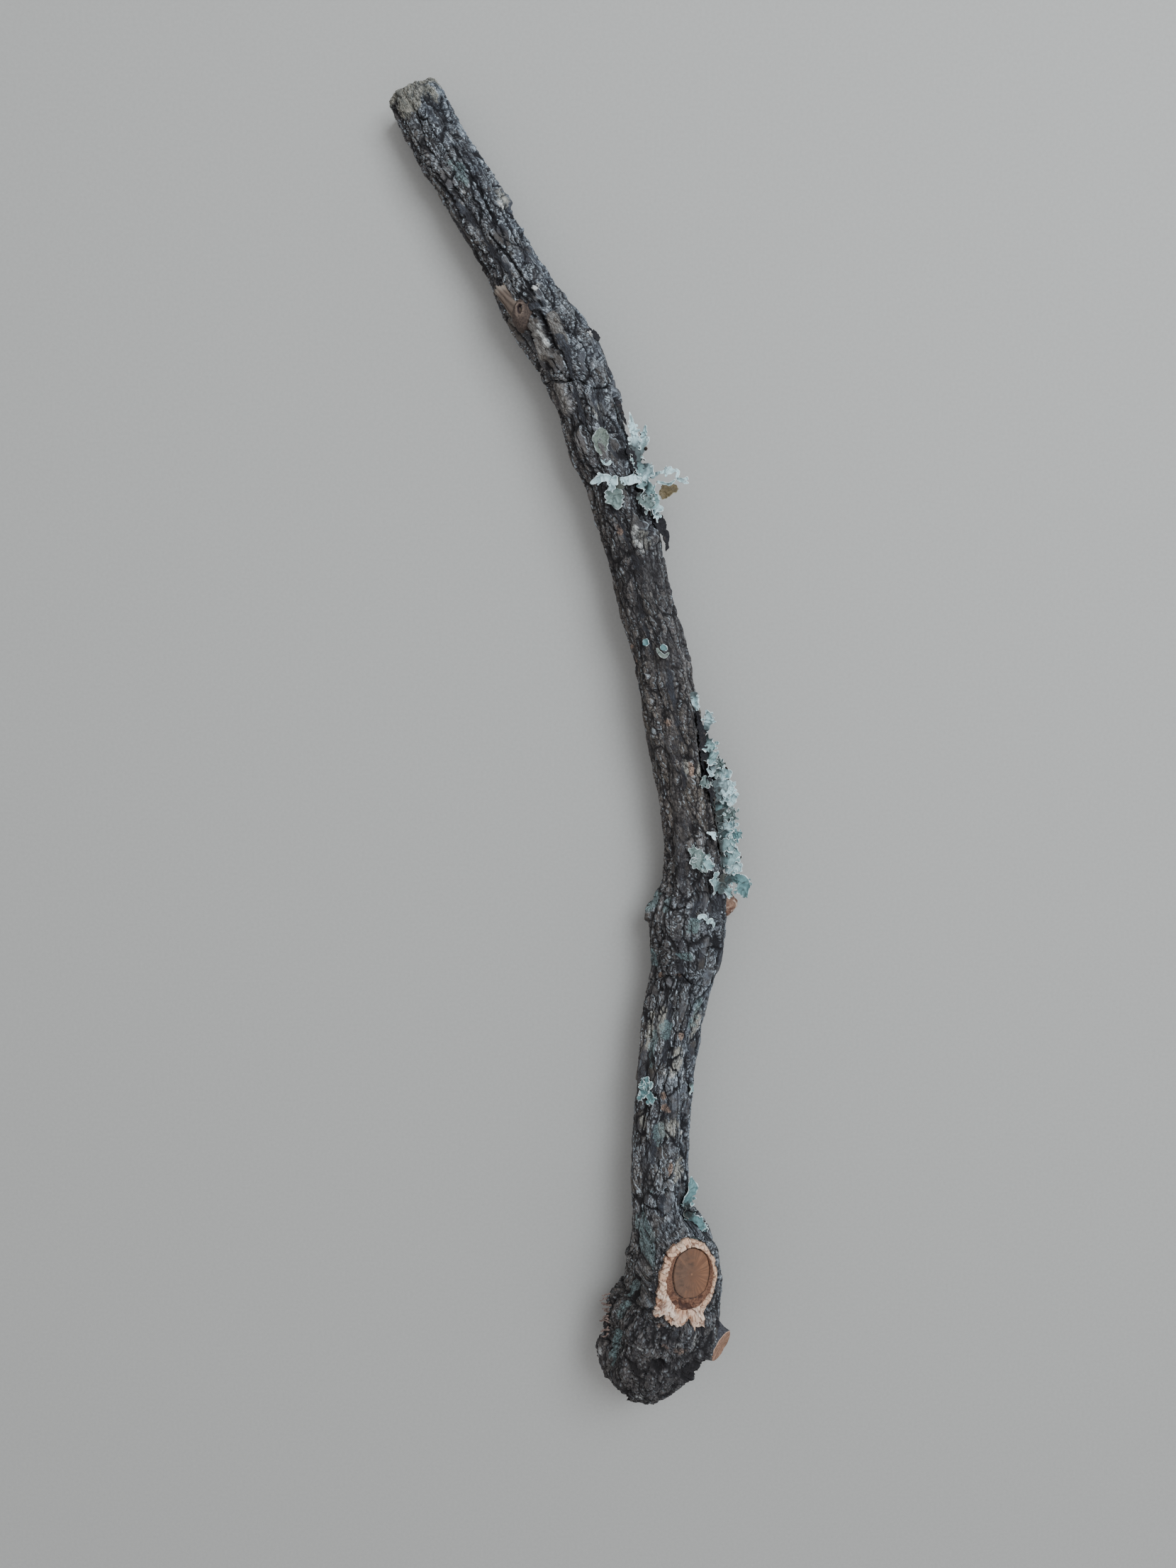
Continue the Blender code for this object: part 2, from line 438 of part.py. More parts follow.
# The lichens. Each lobe is (route of (pixel, pixel, lift off the bark), widths, where it looks, how deep it roots).
LICHENS = {
    "lichen_oval_leaf": [
        ([(849, 603, 0.9), (848, 616, 1.1), (848, 632, 1.1), (849, 647, 0.9)], [2.6, 5.8, 5.4, 1.8], None, 1.2),
        ([(848, 645, 0.7), (852, 651, 1.1), (858, 653, 1.2), (864, 650, 1.3)], [1.6, 2.2, 2.2, 1.2], None, 1.2),
    ],
    "lichen_front_folds": [
        ([(871, 676, 0.5), (870, 684, 0.7), (870, 692, 0.6)], [3.0, 4.2, 3.0], None, 2.0),
        ([(871, 682, 0.8), (858, 676, 2.2), (848, 677, 2.8), (837, 682, 2.2)], [2.6, 3.4, 3.8, 1.8], None, 0.0),
        ([(868, 681, 0.8), (862, 687, 2.2), (860, 693, 2.4)], [2.4, 3.0, 2.0], None, 0.0),
        ([(870, 683, 0.8), (884, 680, 2.2), (896, 678, 2.8), (905, 677, 2.6)], [2.4, 3.0, 3.2, 2.0], None, 0.0),
        ([(870, 687, 0.7), (869, 697, 1.1), (868, 708, 1.2), (868, 716, 0.9)], [3.4, 6.4, 6.2, 3.0], None, 1.2),
    ],
    "lichen_upper_cluster": [
        ([(887, 626, 0.5), (897, 650, 0.7), (906, 680, 0.7), (914, 708, 0.7), (922, 734, 0.5)],
         [3.6, 5.0, 6.0, 5.4, 2.4], EDGE, 2.4),
        ([(893, 642, 0.8), (895, 624, 2.0), (893, 604, 3.6), (889, 584, 4.4)], [3.0, 3.8, 3.2, 1.8], (0.2, 0, 1), 0.0),
        ([(896, 650, 0.8), (905, 630, 3.4), (908, 614, 5.2), (911, 600, 6.4)], [3.0, 3.4, 2.6, 1.2], VIEWER, 0.0),
        ([(904, 660, 0.6), (914, 667, 3.0), (924, 672, 6.0)], [5.4, 6.4, 3.4], VIEWER, 0.0),
        ([(916, 672, 3.0), (931, 667, 7.0), (945, 664, 11.0), (957, 668, 14.0)], [3.2, 3.0, 3.8, 2.0], VIEWER, 0.0),
        ([(954, 667, 13.0), (957, 675, 13.0), (963, 678, 14.6), (971, 677, 16.8)], [1.5, 1.5, 2.4, 1.6], VIEWER, 0.0),
        ([(915, 676, 2.4), (930, 680, 6.0), (941, 688, 8.6), (946, 694, 9.8)], [2.8, 3.4, 5.2, 3.2], VIEWER, 0.0),
        ([(908, 690, 0.6), (917, 692, 3.0), (927, 690, 5.0)], [4.0, 4.4, 3.0], (0.3, 0.2, 1), 0.0),
        ([(912, 706, 0.6), (921, 706, 3.0), (930, 700, 5.4)], [4.0, 4.4, 2.8], (0.3, -0.2, 1), 0.0),
        ([(905, 694, 0.8), (910, 706, 2.2), (915, 720, 1.8)], [3.0, 4.6, 2.8], (0.4, 0, 0.9), 0.0),
        ([(917, 720, 0.6), (926, 718, 3.0), (935, 719, 5.0)], [3.0, 3.0, 2.0], VIEWER, 0.0),
        ([(916, 716, 0.6), (923, 726, 2.2), (929, 737, 2.8)], [3.0, 3.2, 1.8], EDGE, 0.0),
    ],
    "lichen_mid_speck": [
        ([(908, 901, 0.7), (912, 907, 0.9), (915, 914, 0.8)], [1.4, 2.8, 1.4], None, 1.2),
    ],
    "lichen_mid_rosette": [
        ([(933, 910, 0.7), (937, 916, 0.9), (942, 925, 0.8)], [1.6, 2.9, 1.4], None, 1.2),
    ],
    "lichen_edge_chip": [
        ([(975, 980, 0.7), (981, 991, 0.9), (984, 1005, 0.8)], [1.6, 2.6, 2.0], EDGE, 1.2),
    ],
    "lichen_long_colony": [
        ([(990, 1034, 0.2), (997, 1066, 0.4), (1002, 1100, 0.4), (1008, 1140, 0.4), (1013, 1180, 0.4), (1018, 1220, 0.2)],
         [2.4, 4.5, 5.0, 5.6, 5.6, 4.4], EDGE, 2.4),
        ([(991, 1037, 0.6), (998, 1023, 3.0), (1003, 1010, 4.8), (996, 1001, 5.0)], [2.0, 3.4, 3.6, 1.6], VIEWER, 0.0),
        ([(1001, 1019, 3.9), (1006, 1014, 4.8), (1010, 1011, 5.8)], [2.0, 1.8, 1.0], VIEWER, 0.0),
        ([(993, 1041, 0.6), (1000, 1050, 2.6), (1006, 1061, 3.4)], [3.0, 4.4, 2.4], VIEWER, 0.0),
        ([(995, 1063, 0.6), (1003, 1068, 2.8), (1011, 1066, 4.2)], [4.0, 4.6, 2.6], VIEWER, 0.0),
        ([(998, 1078, 0.6), (1001, 1088, 2.2), (999, 1098, 2.0)], [4.0, 4.0, 2.2], (0.4, 0, 1), 0.0),
        ([(1000, 1082, 0.8), (1013, 1083, 3.8), (1025, 1080, 6.2)], [3.5, 6.0, 3.5], VIEWER, 0.0),
        ([(1004, 1095, 0.8), (1020, 1092, 4.6), (1034, 1093, 7.6)], [3.2, 4.0, 3.0], VIEWER, 0.0),
        ([(1004, 1108, 0.8), (1022, 1110, 4.5), (1038, 1112, 8.2)], [4.2, 6.0, 3.4], VIEWER, 0.0),
        ([(1006, 1120, 0.8), (1026, 1124, 4.5), (1040, 1129, 8.0)], [4.0, 5.0, 2.8], (0, 0.3, 1), 0.0),
        ([(1002, 1097, 0.6), (994, 1103, 1.4), (988, 1112, 1.2)], [2.6, 3.4, 2.0], None, 0.6),
        ([(1006, 1134, 0.8), (1018, 1136, 3.0), (1031, 1133, 5.6)], [4.0, 4.5, 3.0], VIEWER, 0.0),
        ([(1009, 1150, 0.8), (1026, 1150, 4.2), (1041, 1150, 7.6)], [4.5, 6.0, 4.0], (0.2, 0, 1), 0.0),
        ([(1011, 1164, 0.8), (1026, 1166, 4.0), (1037, 1171, 6.4)], [4.0, 6.0, 3.5], (0, -0.2, 1), 0.0),
        ([(1012, 1178, 0.8), (1030, 1180, 4.4), (1048, 1176, 8.8)], [3.5, 4.5, 2.4], VIEWER, 0.0),
        ([(1014, 1176, 0.6), (1006, 1179, 1.6), (998, 1177, 1.6)], [2.2, 2.6, 1.4], None, 0.0),
        ([(1014, 1191, 0.8), (1026, 1192, 3.6), (1037, 1190, 6.2)], [4.0, 5.0, 3.2], (0.2, 0.2, 1), 0.0),
        ([(1016, 1205, 0.8), (1030, 1208, 4.2), (1045, 1211, 8.0)], [4.4, 6.4, 3.8], VIEWER, 0.0),
        ([(1018, 1216, 0.8), (1032, 1220, 4.2), (1046, 1226, 7.2)], [4.0, 6.0, 3.2], (0, 0.2, 1), 0.0),
    ],
    "lichen_front_rosette": [
        ([(990, 1204, 0.5), (990, 1210, 0.6), (992, 1216, 0.5)], [3.4, 4.4, 3.4], None, 2.0),
        ([(990, 1207, 0.8), (981, 1202, 1.6), (973, 1199, 1.4)], [3.0, 4.4, 2.6], None, 0.0),
        ([(990, 1210, 0.8), (983, 1217, 1.7), (977, 1225, 1.3)], [4.0, 6.4, 3.4], None, 0.0),
        ([(991, 1213, 0.8), (998, 1219, 1.8), (1002, 1228, 1.7)], [3.0, 4.2, 2.4], None, 0.0),
    ],
    "lichen_broad_lobe": [
        ([(1013, 1240, 0.3), (1020, 1244, 0.4), (1027, 1247, 0.3)], [3.4, 5.0, 3.4], EDGE, 2.4),
        ([(1022, 1250, 0.8), (1011, 1249, 2.2), (1008, 1238, 3.0), (1014, 1231, 3.0)], [3.0, 3.8, 3.2, 1.8],
         (0.4, 0, 1), 0.0),
        ([(1018, 1247, 0.8), (1025, 1256, 1.8), (1032, 1257, 2.4)], [2.6, 3.2, 2.0], (0.4, 0, 1), 0.0),
        ([(1020, 1243, 0.8), (1034, 1240, 3.4), (1049, 1241, 7.0), (1054, 1253, 7.6), (1049, 1270, 6.4)],
         [3.0, 4.0, 5.0, 5.8, 3.6], VIEWER, 0.0),
    ],
    "lichen_node_curls": [
        ([(985, 1293, 0.7), (991, 1298, 1.1), (998, 1301, 1.1), (1005, 1303, 0.9)], [1.6, 2.6, 2.6, 1.6], None, 1.6),
    ],
    "lichen_edge_bit": [
        ([(973, 1527, 0.5), (974, 1534, 0.7), (974, 1542, 0.5)], [1.4, 2.2, 1.2], EDGE, 1.4),
    ],
    "lichen_left_rosette": [
        ([(911, 1534, 0.5), (911, 1540, 0.6), (913, 1545, 0.5)], [3.2, 4.2, 3.2], None, 2.0),
        ([(911, 1539, 0.8), (908, 1530, 1.0), (906, 1522, 0.9)], [3.0, 2.8, 1.4], None, 1.0),
        ([(912, 1539, 0.8), (913, 1528, 1.1), (913, 1518, 0.9)], [3.0, 2.6, 1.4], None, 1.0),
        ([(912, 1539, 0.8), (917, 1531, 1.0), (921, 1525, 0.9)], [2.6, 2.2, 1.2], None, 1.0),
        ([(911, 1540, 0.8), (906, 1545, 1.0), (902, 1551, 0.8)], [3.0, 2.8, 1.4], None, 1.0),
        ([(913, 1542, 0.8), (920, 1549, 1.2), (926, 1555, 1.0)], [3.0, 3.4, 2.4], None, 1.0),
    ],
    "lichen_right_leaf": [
        ([(968, 1700, 0.1), (967, 1710, 0.3), (972, 1720, 0.2)], [2.6, 3.6, 2.6], EDGE, 2.4),
        ([(967, 1706, 0.8), (971, 1694, 1.8), (975, 1678, 2.6), (975, 1662, 2.8)], [2.6, 5.0, 5.2, 2.4],
         (0.35, 0, 0.95), 0.0),
        ([(968, 1710, 0.8), (976, 1720, 1.6), (987, 1727, 2.8), (995, 1735, 3.2)], [2.6, 3.8, 3.8, 2.0],
         (0.3, 0, 1), 0.0),
        ([(990, 1731, 3.0), (996, 1736, 3.2), (1001, 1741, 3.4)], [1.8, 1.8, 1.1], (0.3, 0, 1), 0.0),
    ],
}

for name, lobes in LICHENS.items():
    plates = []
    for route, widths, face, sink in lobes:
        steps = {3: 3, 4: 4}.get(len(route), 6)
        plates.append(plate("lobe", route, widths, face, sink=sink, along_steps=steps))
    lichen = join(plates, name)
    lichen.data.materials.append(leafy)
    cut_and_keep(lichen, "DIFFERENCE", clear)
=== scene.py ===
# %% [markdown]
# # Lichen on a twig
#
# This lesson dresses a cut branch end, half a metre long, that lies on a table with its swollen foot towards
# us. Leafy grey-green lichens grow on its front and along its right side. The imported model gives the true
# size and place of everything. The bark, the cut wood and the papery lichens are modelled round it here,
# piece by piece. Lengths are in millimetres until a mesh is written, because bark and lichen are measured in
# millimetres.

# %% Load the measured model
import math

import bpy
import numpy as np
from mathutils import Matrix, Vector, noise


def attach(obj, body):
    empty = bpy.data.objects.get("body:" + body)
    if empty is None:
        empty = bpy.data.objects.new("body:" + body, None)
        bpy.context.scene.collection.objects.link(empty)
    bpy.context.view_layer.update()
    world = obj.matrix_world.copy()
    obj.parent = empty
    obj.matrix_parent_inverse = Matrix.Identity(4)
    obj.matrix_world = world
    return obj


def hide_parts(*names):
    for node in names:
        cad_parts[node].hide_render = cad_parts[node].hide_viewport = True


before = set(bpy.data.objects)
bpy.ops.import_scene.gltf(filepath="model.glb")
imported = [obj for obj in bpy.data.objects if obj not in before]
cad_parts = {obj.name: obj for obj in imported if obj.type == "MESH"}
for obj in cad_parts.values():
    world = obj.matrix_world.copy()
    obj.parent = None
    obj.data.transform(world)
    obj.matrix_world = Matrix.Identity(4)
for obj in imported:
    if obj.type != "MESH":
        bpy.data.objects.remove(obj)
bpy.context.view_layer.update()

MM = 0.001
draw = np.random.default_rng(7)

# %% [markdown]
# ## The camera
#
# The branch is seen from straight above its middle, with a wide lens, tilted a little towards the foot. The
# camera comes first, because every place on the branch is then named by where it is seen: a column and a row
# of the 1659 by 2212 view. That is how a maker works from a reference, "the scar is there, the leaf is
# there".

# %% Place the camera
VIEW_FOCAL_PX = 1660.0
VIEW_CENTRE_PX = (829.5, 1106.0)
VIEW_HEIGHT_PX = 2212
VIEW_TILT = math.radians(7.0)
VIEW_HEIGHT = 454.0
ORIGIN = (-3.4, -53.5)
SENSOR = 36.0

lens = bpy.data.cameras.new("view_from_above")
lens.sensor_fit = "VERTICAL"
lens.sensor_height = SENSOR
lens.lens = VIEW_FOCAL_PX / VIEW_HEIGHT_PX * SENSOR
lens.clip_start = 0.01
camera = bpy.data.objects.new("view_from_above", lens)
camera.location = (-ORIGIN[0] * MM, -ORIGIN[1] * MM, VIEW_HEIGHT * MM)
camera.rotation_euler = (-VIEW_TILT, 0, 0)
bpy.context.scene.collection.objects.link(camera)
bpy.context.scene.camera = camera
print("lens", round(lens.lens, 2), "mm")

# %% [markdown]
# ## The branch's middle line
#
# A branch is not a straight pipe: it bends at each place where a side shoot once grew, and swells there. The
# simplest honest description is a curved middle line with a thickness at every point. The stations say where
# the middle line is seen and how thick the wood is there; the heights say how it lies on the table. A smooth
# curve through them gives one long set of samples, and NumPy then finds any place along it for thousands of
# points at once.

# %% The stations: column, row, thickness in mm
STATIONS = [
    (583, 133, 18.5), (620, 205, 18.8), (661, 268, 18.7), (695, 330, 18.1), (727, 385, 18.8),
    (748, 425, 20.6), (797, 493, 22.3), (826, 554, 21.6), (841, 618, 20.7), (861, 662, 21.0),
    (884, 735, 20.3), (900, 800, 19.4), (913, 860, 18.9), (930, 915, 19.5), (941, 975, 19.4),
    (952, 1032, 19.7), (958, 1068, 19.5), (968, 1131, 19.8), (974, 1182, 20.2), (977, 1221, 21.6),
    (979, 1254, 25.0), (974, 1275, 27.4), (971, 1295, 28.4), (970, 1335, 27.4), (966, 1360, 25.6),
    (959, 1390, 23.5), (951, 1430, 22.5), (945, 1470, 21.7), (939, 1510, 21.0), (936, 1550, 21.0),
    (933, 1590, 21.7), (931, 1630, 21.4), (930, 1670, 21.8), (930, 1700, 21.6), (933, 1719, 24.4),
    (939, 1738, 27.5), (946, 1757, 31.5), (950, 1777, 32.6), (952, 1796, 34.0), (949, 1815, 36.4),
    (946, 1834, 40.6), (938, 1853, 43.8), (931, 1872, 43.0), (923, 1891, 41.4), (915, 1911, 38.8),
    (912, 1930, 34.0), (913, 1951, 25.0), (915, 1966, 12.0),
]
HEIGHTS = [
    (133, 9.0), (205, 9.6), (330, 11.5), (493, 14.2), (618, 15.0), (860, 15.2), (1068, 14.0), (1221, 13.2),
    (1275, 12.7), (1315, 12.7), (1390, 14.2), (1510, 15.4), (1670, 16.0), (1757, 17.4), (1834, 18.3),
    (1891, 18.0), (1930, 17.4), (1968, 16.6),
]
FLATNESS = [(133, 1.0), (1690, 1.0), (1722, 1.14), (1742, 1.18), (1777, 1.06), (1834, 0.92), (1968, 0.88)]
SAMPLES_PER_STATION = 12
print(len(STATIONS), "stations")

# %% From the view to millimetres


def between(table, key, column=1):
    """The value at this key of a table that is sorted by its first column."""
    return np.interp(key, [line[0] for line in table], [line[column] for line in table])


def seen_at(px, py, z):
    """The point at this height above the table that is seen at this pixel of the view."""
    rise = (VIEW_CENTRE_PX[1] - py) / VIEW_FOCAL_PX
    side = (px - VIEW_CENTRE_PX[0]) / VIEW_FOCAL_PX
    depth = (VIEW_HEIGHT - z) / (math.cos(VIEW_TILT) + rise * math.sin(VIEW_TILT))
    along = depth * (rise * math.cos(VIEW_TILT) - math.sin(VIEW_TILT))
    return np.array([side * depth - ORIGIN[0], along - ORIGIN[1], z])


def smooth(points, at):
    """A smooth curve through the points, whose parameter is the index of a point."""
    points = np.asarray(points, float)
    last = len(points) - 1
    at = np.clip(np.atleast_1d(at).astype(float), 0, last)
    index = np.minimum(at.astype(int), last - 1)
    t = (at - index)[:, None]
    padded = np.vstack([2 * points[0] - points[1], points, 2 * points[-1] - points[-2]])
    zero, one, two, three = (padded[index + k] for k in range(4))
    bent = 2 * zero - 5 * one + 4 * two - three
    return 0.5 * (2 * one + (two - zero) * t + bent * t**2 + (3 * one - zero - 3 * two + three) * t**3)


print("the middle of the view looks at", seen_at(*VIEW_CENTRE_PX, 0.0).round(1), "on the table")


# %% Sample the middle line every millimetre or so
knots = []
for px, py, thickness in STATIONS:
    knots.append([*seen_at(px, py, between(HEIGHTS, py)), thickness / 2, py])
sample_places = np.arange((len(knots) - 1) * SAMPLES_PER_STATION + 1) / SAMPLES_PER_STATION
LINE = smooth(knots, sample_places)
LINE_ROW = np.interp(sample_places, np.arange(len(knots)), [knot[4] for knot in knots])
LINE_FLAT = between(FLATNESS, LINE_ROW)
LINE_S = np.concatenate([[0], np.cumsum(np.linalg.norm(np.diff(LINE[:, :3], axis=0), axis=1))])
LENGTH = LINE_S[-1]


def unit(vectors):
    return vectors / np.linalg.norm(vectors, axis=-1, keepdims=True)


# The direction at each sample is taken over eleven of them, so that it turns smoothly through the bends.
padded = np.vstack([LINE[:1, :3]] * 5 + [LINE[:, :3]] + [LINE[-1:, :3]] * 6)
LINE_ALONG = unit(padded[11:] - padded[:-11])
print("the branch is", round(float(LENGTH)), "mm long along its bends")


# %% Find a place on the branch
def middle(s):
    """At s mm from the top end: middle point, radius, flatness and the along, side and up directions."""
    s = np.atleast_1d(s)

    def at(values):
        return np.stack([np.interp(s, LINE_S, values[:, k]) for k in range(3)], axis=1)

    along = unit(at(LINE_ALONG))
    side = unit(np.cross([0.0, 0.0, 1.0], along))
    up = unit(np.cross(along, side))
    radius = np.interp(s, LINE_S, LINE[:, 3])
    return at(LINE[:, :3]), radius, np.interp(s, LINE_S, LINE_FLAT), along, side, up


def nearest(points):
    """How far from the top end the middle line passes closest to each point, seen from above."""
    points = np.atleast_2d(points)
    away = ((points[:, None, :2] - LINE[None, :, :2]) ** 2).sum(axis=2)
    return LINE_S[away.argmin(axis=1)]


def hug(px, py, lift, rise=0.0):
    """The point seen at this pixel, this far off the plain bark. Past the bark's edge it is level with it."""
    z = 24.0
    for _ in range(8):
        point = seen_at(px, py, z)
        line, radius, flat = (value[0] for value in middle(nearest(point))[:3])
        off = np.hypot(*(point[:2] - line[:2]))
        z = line[2] + flat * math.sqrt(max((radius + lift) ** 2 - off**2, 0.0))
    return seen_at(px, py, z + rise)


def place_of(px, py):
    """The same place, as mm from the top end and the angle round the branch: 0 on top, then to the right."""
    point = hug(px, py, 0.3)
    s = nearest(point)
    line, radius, flat, along, side, up = (value[0] for value in middle(s))
    return s[0], math.atan2((point - line) @ side, (point - line) @ up / flat)


print("the knee is seen at", place_of(970, 1320)[0].round(), "mm from the top end")


# %% [markdown]
# ## Random patterns that repeat exactly
#
# Bark is a pattern of cracked plates. Two patterns make nearly all of it. Soft clouds give gentle lumps and
# stains. Cells, the pattern of dried mud, give plates with cracks between them: for each point they tell how
# near the closest crack is, and a number of its own for each plate. Both come from numbers that depend only
# on the place, so every run gives the same bark, and both are worked out for all the points of a mesh at
# once.

# %% Clouds
def shuffled(corner, seed):
    """A random number from 0 to 1 for each whole-numbered place."""
    whole = corner.astype(np.int64).astype(np.uint32)
    mixed = whole[:, 0] * np.uint32(73856093) ^ whole[:, 1] * np.uint32(19349663)
    mixed = mixed ^ whole[:, 2] * np.uint32(83492791) ^ np.uint32(seed * 2654435 + 12345)
    for shift in (15, 13):
        mixed = (mixed ^ (mixed >> np.uint32(shift))) * np.uint32(2246822519)
    return (mixed ^ (mixed >> np.uint32(16))).astype(float) / 2**32


def clouds(places, size, seed):
    """Soft hills and hollows from -1 to 1, this many mm wide."""
    scaled = places / size
    base = np.floor(scaled)
    share = scaled - base
    share = share * share * (3 - 2 * share)
    total = np.zeros(len(places))
    for step in np.ndindex(2, 2, 2):
        weight = np.where(np.array(step) == 1, share, 1 - share).prod(axis=1)
        total += weight * shuffled(base + step, seed)
    return 2 * total - 1


# %% Cells
def cells(places, size, seed):
    """Plates this many mm wide: how far the centre and the crack are, the plate's number and the way out."""
    scaled = places / size
    base = np.floor(scaled)
    first = np.full(len(places), 9.0)
    second = np.full(len(places), 9.0)
    own = np.zeros(len(places))
    offset = np.zeros((len(places), 3))
    for step in np.ndindex(3, 3, 3):
        corner = base + step - 1
        centre = corner + 0.5
        for axis in range(3):
            centre[:, axis] += 0.9 * (shuffled(corner, seed + axis) - 0.5)
        away = np.linalg.norm(scaled - centre, axis=1)
        closer = away < first
        second = np.where(closer, first, np.minimum(second, away))
        own = np.where(closer, shuffled(corner, seed + 7), own)
        offset = np.where(closer[:, None], scaled - centre, offset)
        first = np.where(closer, away, first)
    return first, second - first, own, offset


def step_up(values, low, high):
    """0 below low, 1 above high and a smooth slope between."""
    share = np.clip((values - low) / (high - low), 0, 1)
    return share * share * (3 - 2 * share)


probe = np.linspace(0, 90, 3000)[:, None] * [1.0, 0.7, 0.3]
print("clouds run from", clouds(probe, 2.0, 1).min().round(2), "to", clouds(probe, 2.0, 1).max().round(2))
print("share of the cells' width that is crack:", (cells(probe, 2.0, 1)[1] < 0.1).mean().round(2))

# %% [markdown]
# ## Marks on the bark
#
# Some things on bark do not repeat: a smooth dark band where the bark stretched, a rusty spot, a green crust
# of algae, one long crack across. Each is listed by the place where it is seen. A helper turns that list
# into a soft mask over the surface, measured in millimetres along and round the branch, with a ragged edge
# from the clouds.

# %% Marks along a line: the columns and rows it passes
SMOOTH_BANDS = [
    [(600, 150), (618, 172), (640, 205)], [(626, 262), (650, 292), (668, 318)],
    [(676, 330), (700, 362), (722, 392)], [(738, 428), (752, 436), (768, 430)],
    [(790, 478), (802, 505), (808, 540), (816, 572), (824, 600)], [(836, 560), (850, 600), (868, 640)],
    [(884, 622), (893, 652), (903, 690)], [(866, 718), (884, 760), (898, 800)],
    [(900, 840), (908, 880), (920, 930)], [(942, 935), (950, 985), (955, 1012)], [(956, 1018), (961, 1040)],
    [(962, 1070), (966, 1110)], [(985, 1030), (992, 1075), (998, 1110)],
    [(985, 1272), (978, 1290), (985, 1300)], [(955, 1345), (962, 1372), (958, 1400)],
    [(944, 1425), (940, 1465), (936, 1500)], [(925, 1588), (920, 1640)], [(935, 1690), (932, 1712)],
    [(916, 1790), (908, 1812), (900, 1835)], [(955, 1880), (950, 1895)],
]
CROSS_CRACKS = [
    [(783, 537), (797, 541), (806, 537)], [(1002, 1339), (1020, 1341)],
    [(905, 1700), (925, 1707), (944, 1716)], [(935, 1276), (950, 1284), (966, 1280)],
    [(770, 452), (756, 442), (744, 446)], [(748, 430), (740, 444), (748, 456)],
]
LONG_CRACKS = [
    [(763, 441), (773, 464), (785, 488), (793, 500)], [(739, 452), (750, 476), (763, 504)],
    [(606, 246), (626, 262), (645, 290)], [(886, 630), (893, 655), (898, 678), (905, 700)],
    [(640, 205), (663, 240), (690, 292), (712, 330)], [(690, 330), (716, 362), (744, 398), (765, 430)],
    [(868, 560), (880, 590), (886, 618)], [(982, 1000), (988, 1040), (994, 1080)], [(984, 1462), (979, 1490)],
]
LONG_PLATES = [
    [(754, 459), (763, 480), (772, 503)], [(779, 446), (787, 465), (795, 486)], [(788, 545), (800, 575)],
]
print(len(SMOOTH_BANDS + CROSS_CRACKS + LONG_CRACKS + LONG_PLATES), "lines")

# %% Spots: column, row, half width across and half length along, in mm
KNOBS = [
    (836, 481, 3.6, 4.2), (845, 500, 2.6, 3.0), (872, 560, 1.8, 3.0), (905, 745, 3.0, 3.4),
    (922, 757, 2.6, 3.0), (918, 1286, 2.6, 2.6), (1000, 1330, 3.0, 3.0), (880, 1830, 3.0, 4.0),
    (1003, 1862, 3.0, 3.6), (709, 280, 3.0, 4.2), (735, 327, 1.8, 2.0), (850, 1893, 3.0, 3.0),
]
RUSTY_SPOTS = [
    (941, 1018, 1.4, 1.6), (975, 1085, 1.1, 3.0), (960, 1463, 1.2, 1.7), (935, 1548, 1.3, 1.6),
    (938, 1567, 1.6, 1.8), (930, 1376, 1.1, 1.2), (962, 1907, 2.6, 1.4), (938, 1901, 3.0, 1.0),
    (891, 913, 0.9, 1.2), (896, 935, 0.8, 1.4), (957, 1379, 1.6, 0.6), (874, 592, 1.0, 1.8),
    (945, 1650, 0.8, 3.4), (930, 1870, 1.6, 1.2), (872, 745, 1.0, 2.0),
]
# Pale flecks on the bark. The one at (767, 476), on the raised plate below the spur, is a painted highlight
# on its upper right.
WHITE_FLECKS_AND_HIGHLIGHT = [
    (937, 1518, 0.7, 0.8), (946, 1517, 0.8, 0.9), (964, 1600, 0.7, 0.8), (928, 1655, 0.7, 1.2),
    (880, 1905, 0.8, 1.2), (850, 1905, 1.0, 1.0), (985, 1030, 0.6, 0.6), (985, 1893, 1.8, 2.2),
    (958, 1900, 0.8, 1.4), (905, 1900, 1.0, 0.7), (903, 1968, 1.4, 1.0), (830, 474, 1.0, 1.4),
    (903, 1820, 0.7, 1.8), (918, 1775, 1.0, 1.0), (767, 476, 0.7, 3.4), (762, 460, 0.7, 1.2),
    (655, 271, 0.8, 0.8), (705, 290, 1.6, 2.4), (757, 404, 1.6, 1.0), (896, 752, 1.4, 2.6),
    (905, 772, 1.3, 1.8), (862, 772, 1.0, 1.2),
]
ALGAE = [
    (979, 1307, 3.0, 3.2), (907, 1738, 4.0, 6.4), (904, 1760, 2.0, 3.0), (886, 1812, 2.4, 5.2),
    (866, 1895, 3.0, 7.0), (850, 1930, 2.6, 4.4), (966, 1352, 3.0, 2.0), (938, 1455, 2.2, 4.0),
    (922, 1350, 3.0, 4.0), (920, 1480, 2.0, 8.0), (985, 1425, 2.0, 5.0), (978, 1444, 2.0, 3.0),
    (930, 1600, 2.6, 5.0), (940, 1275, 2.4, 3.0), (925, 1268, 3.0, 4.0), (972, 1735, 2.6, 3.0),
    (860, 1600, 2.0, 4.0), (650, 246, 2.6, 5.0), (905, 1722, 2.0, 3.0), (878, 1842, 2.0, 5.0),
    (920, 1680, 0.9, 1.0),
]
WORN_SPOTS = [
    (566, 146, 4.0, 4.6), (577, 138, 4.6, 5.0), (590, 126, 4.0, 4.0), (604, 120, 2.0, 2.0),
    (612, 130, 1.4, 3.4),
]
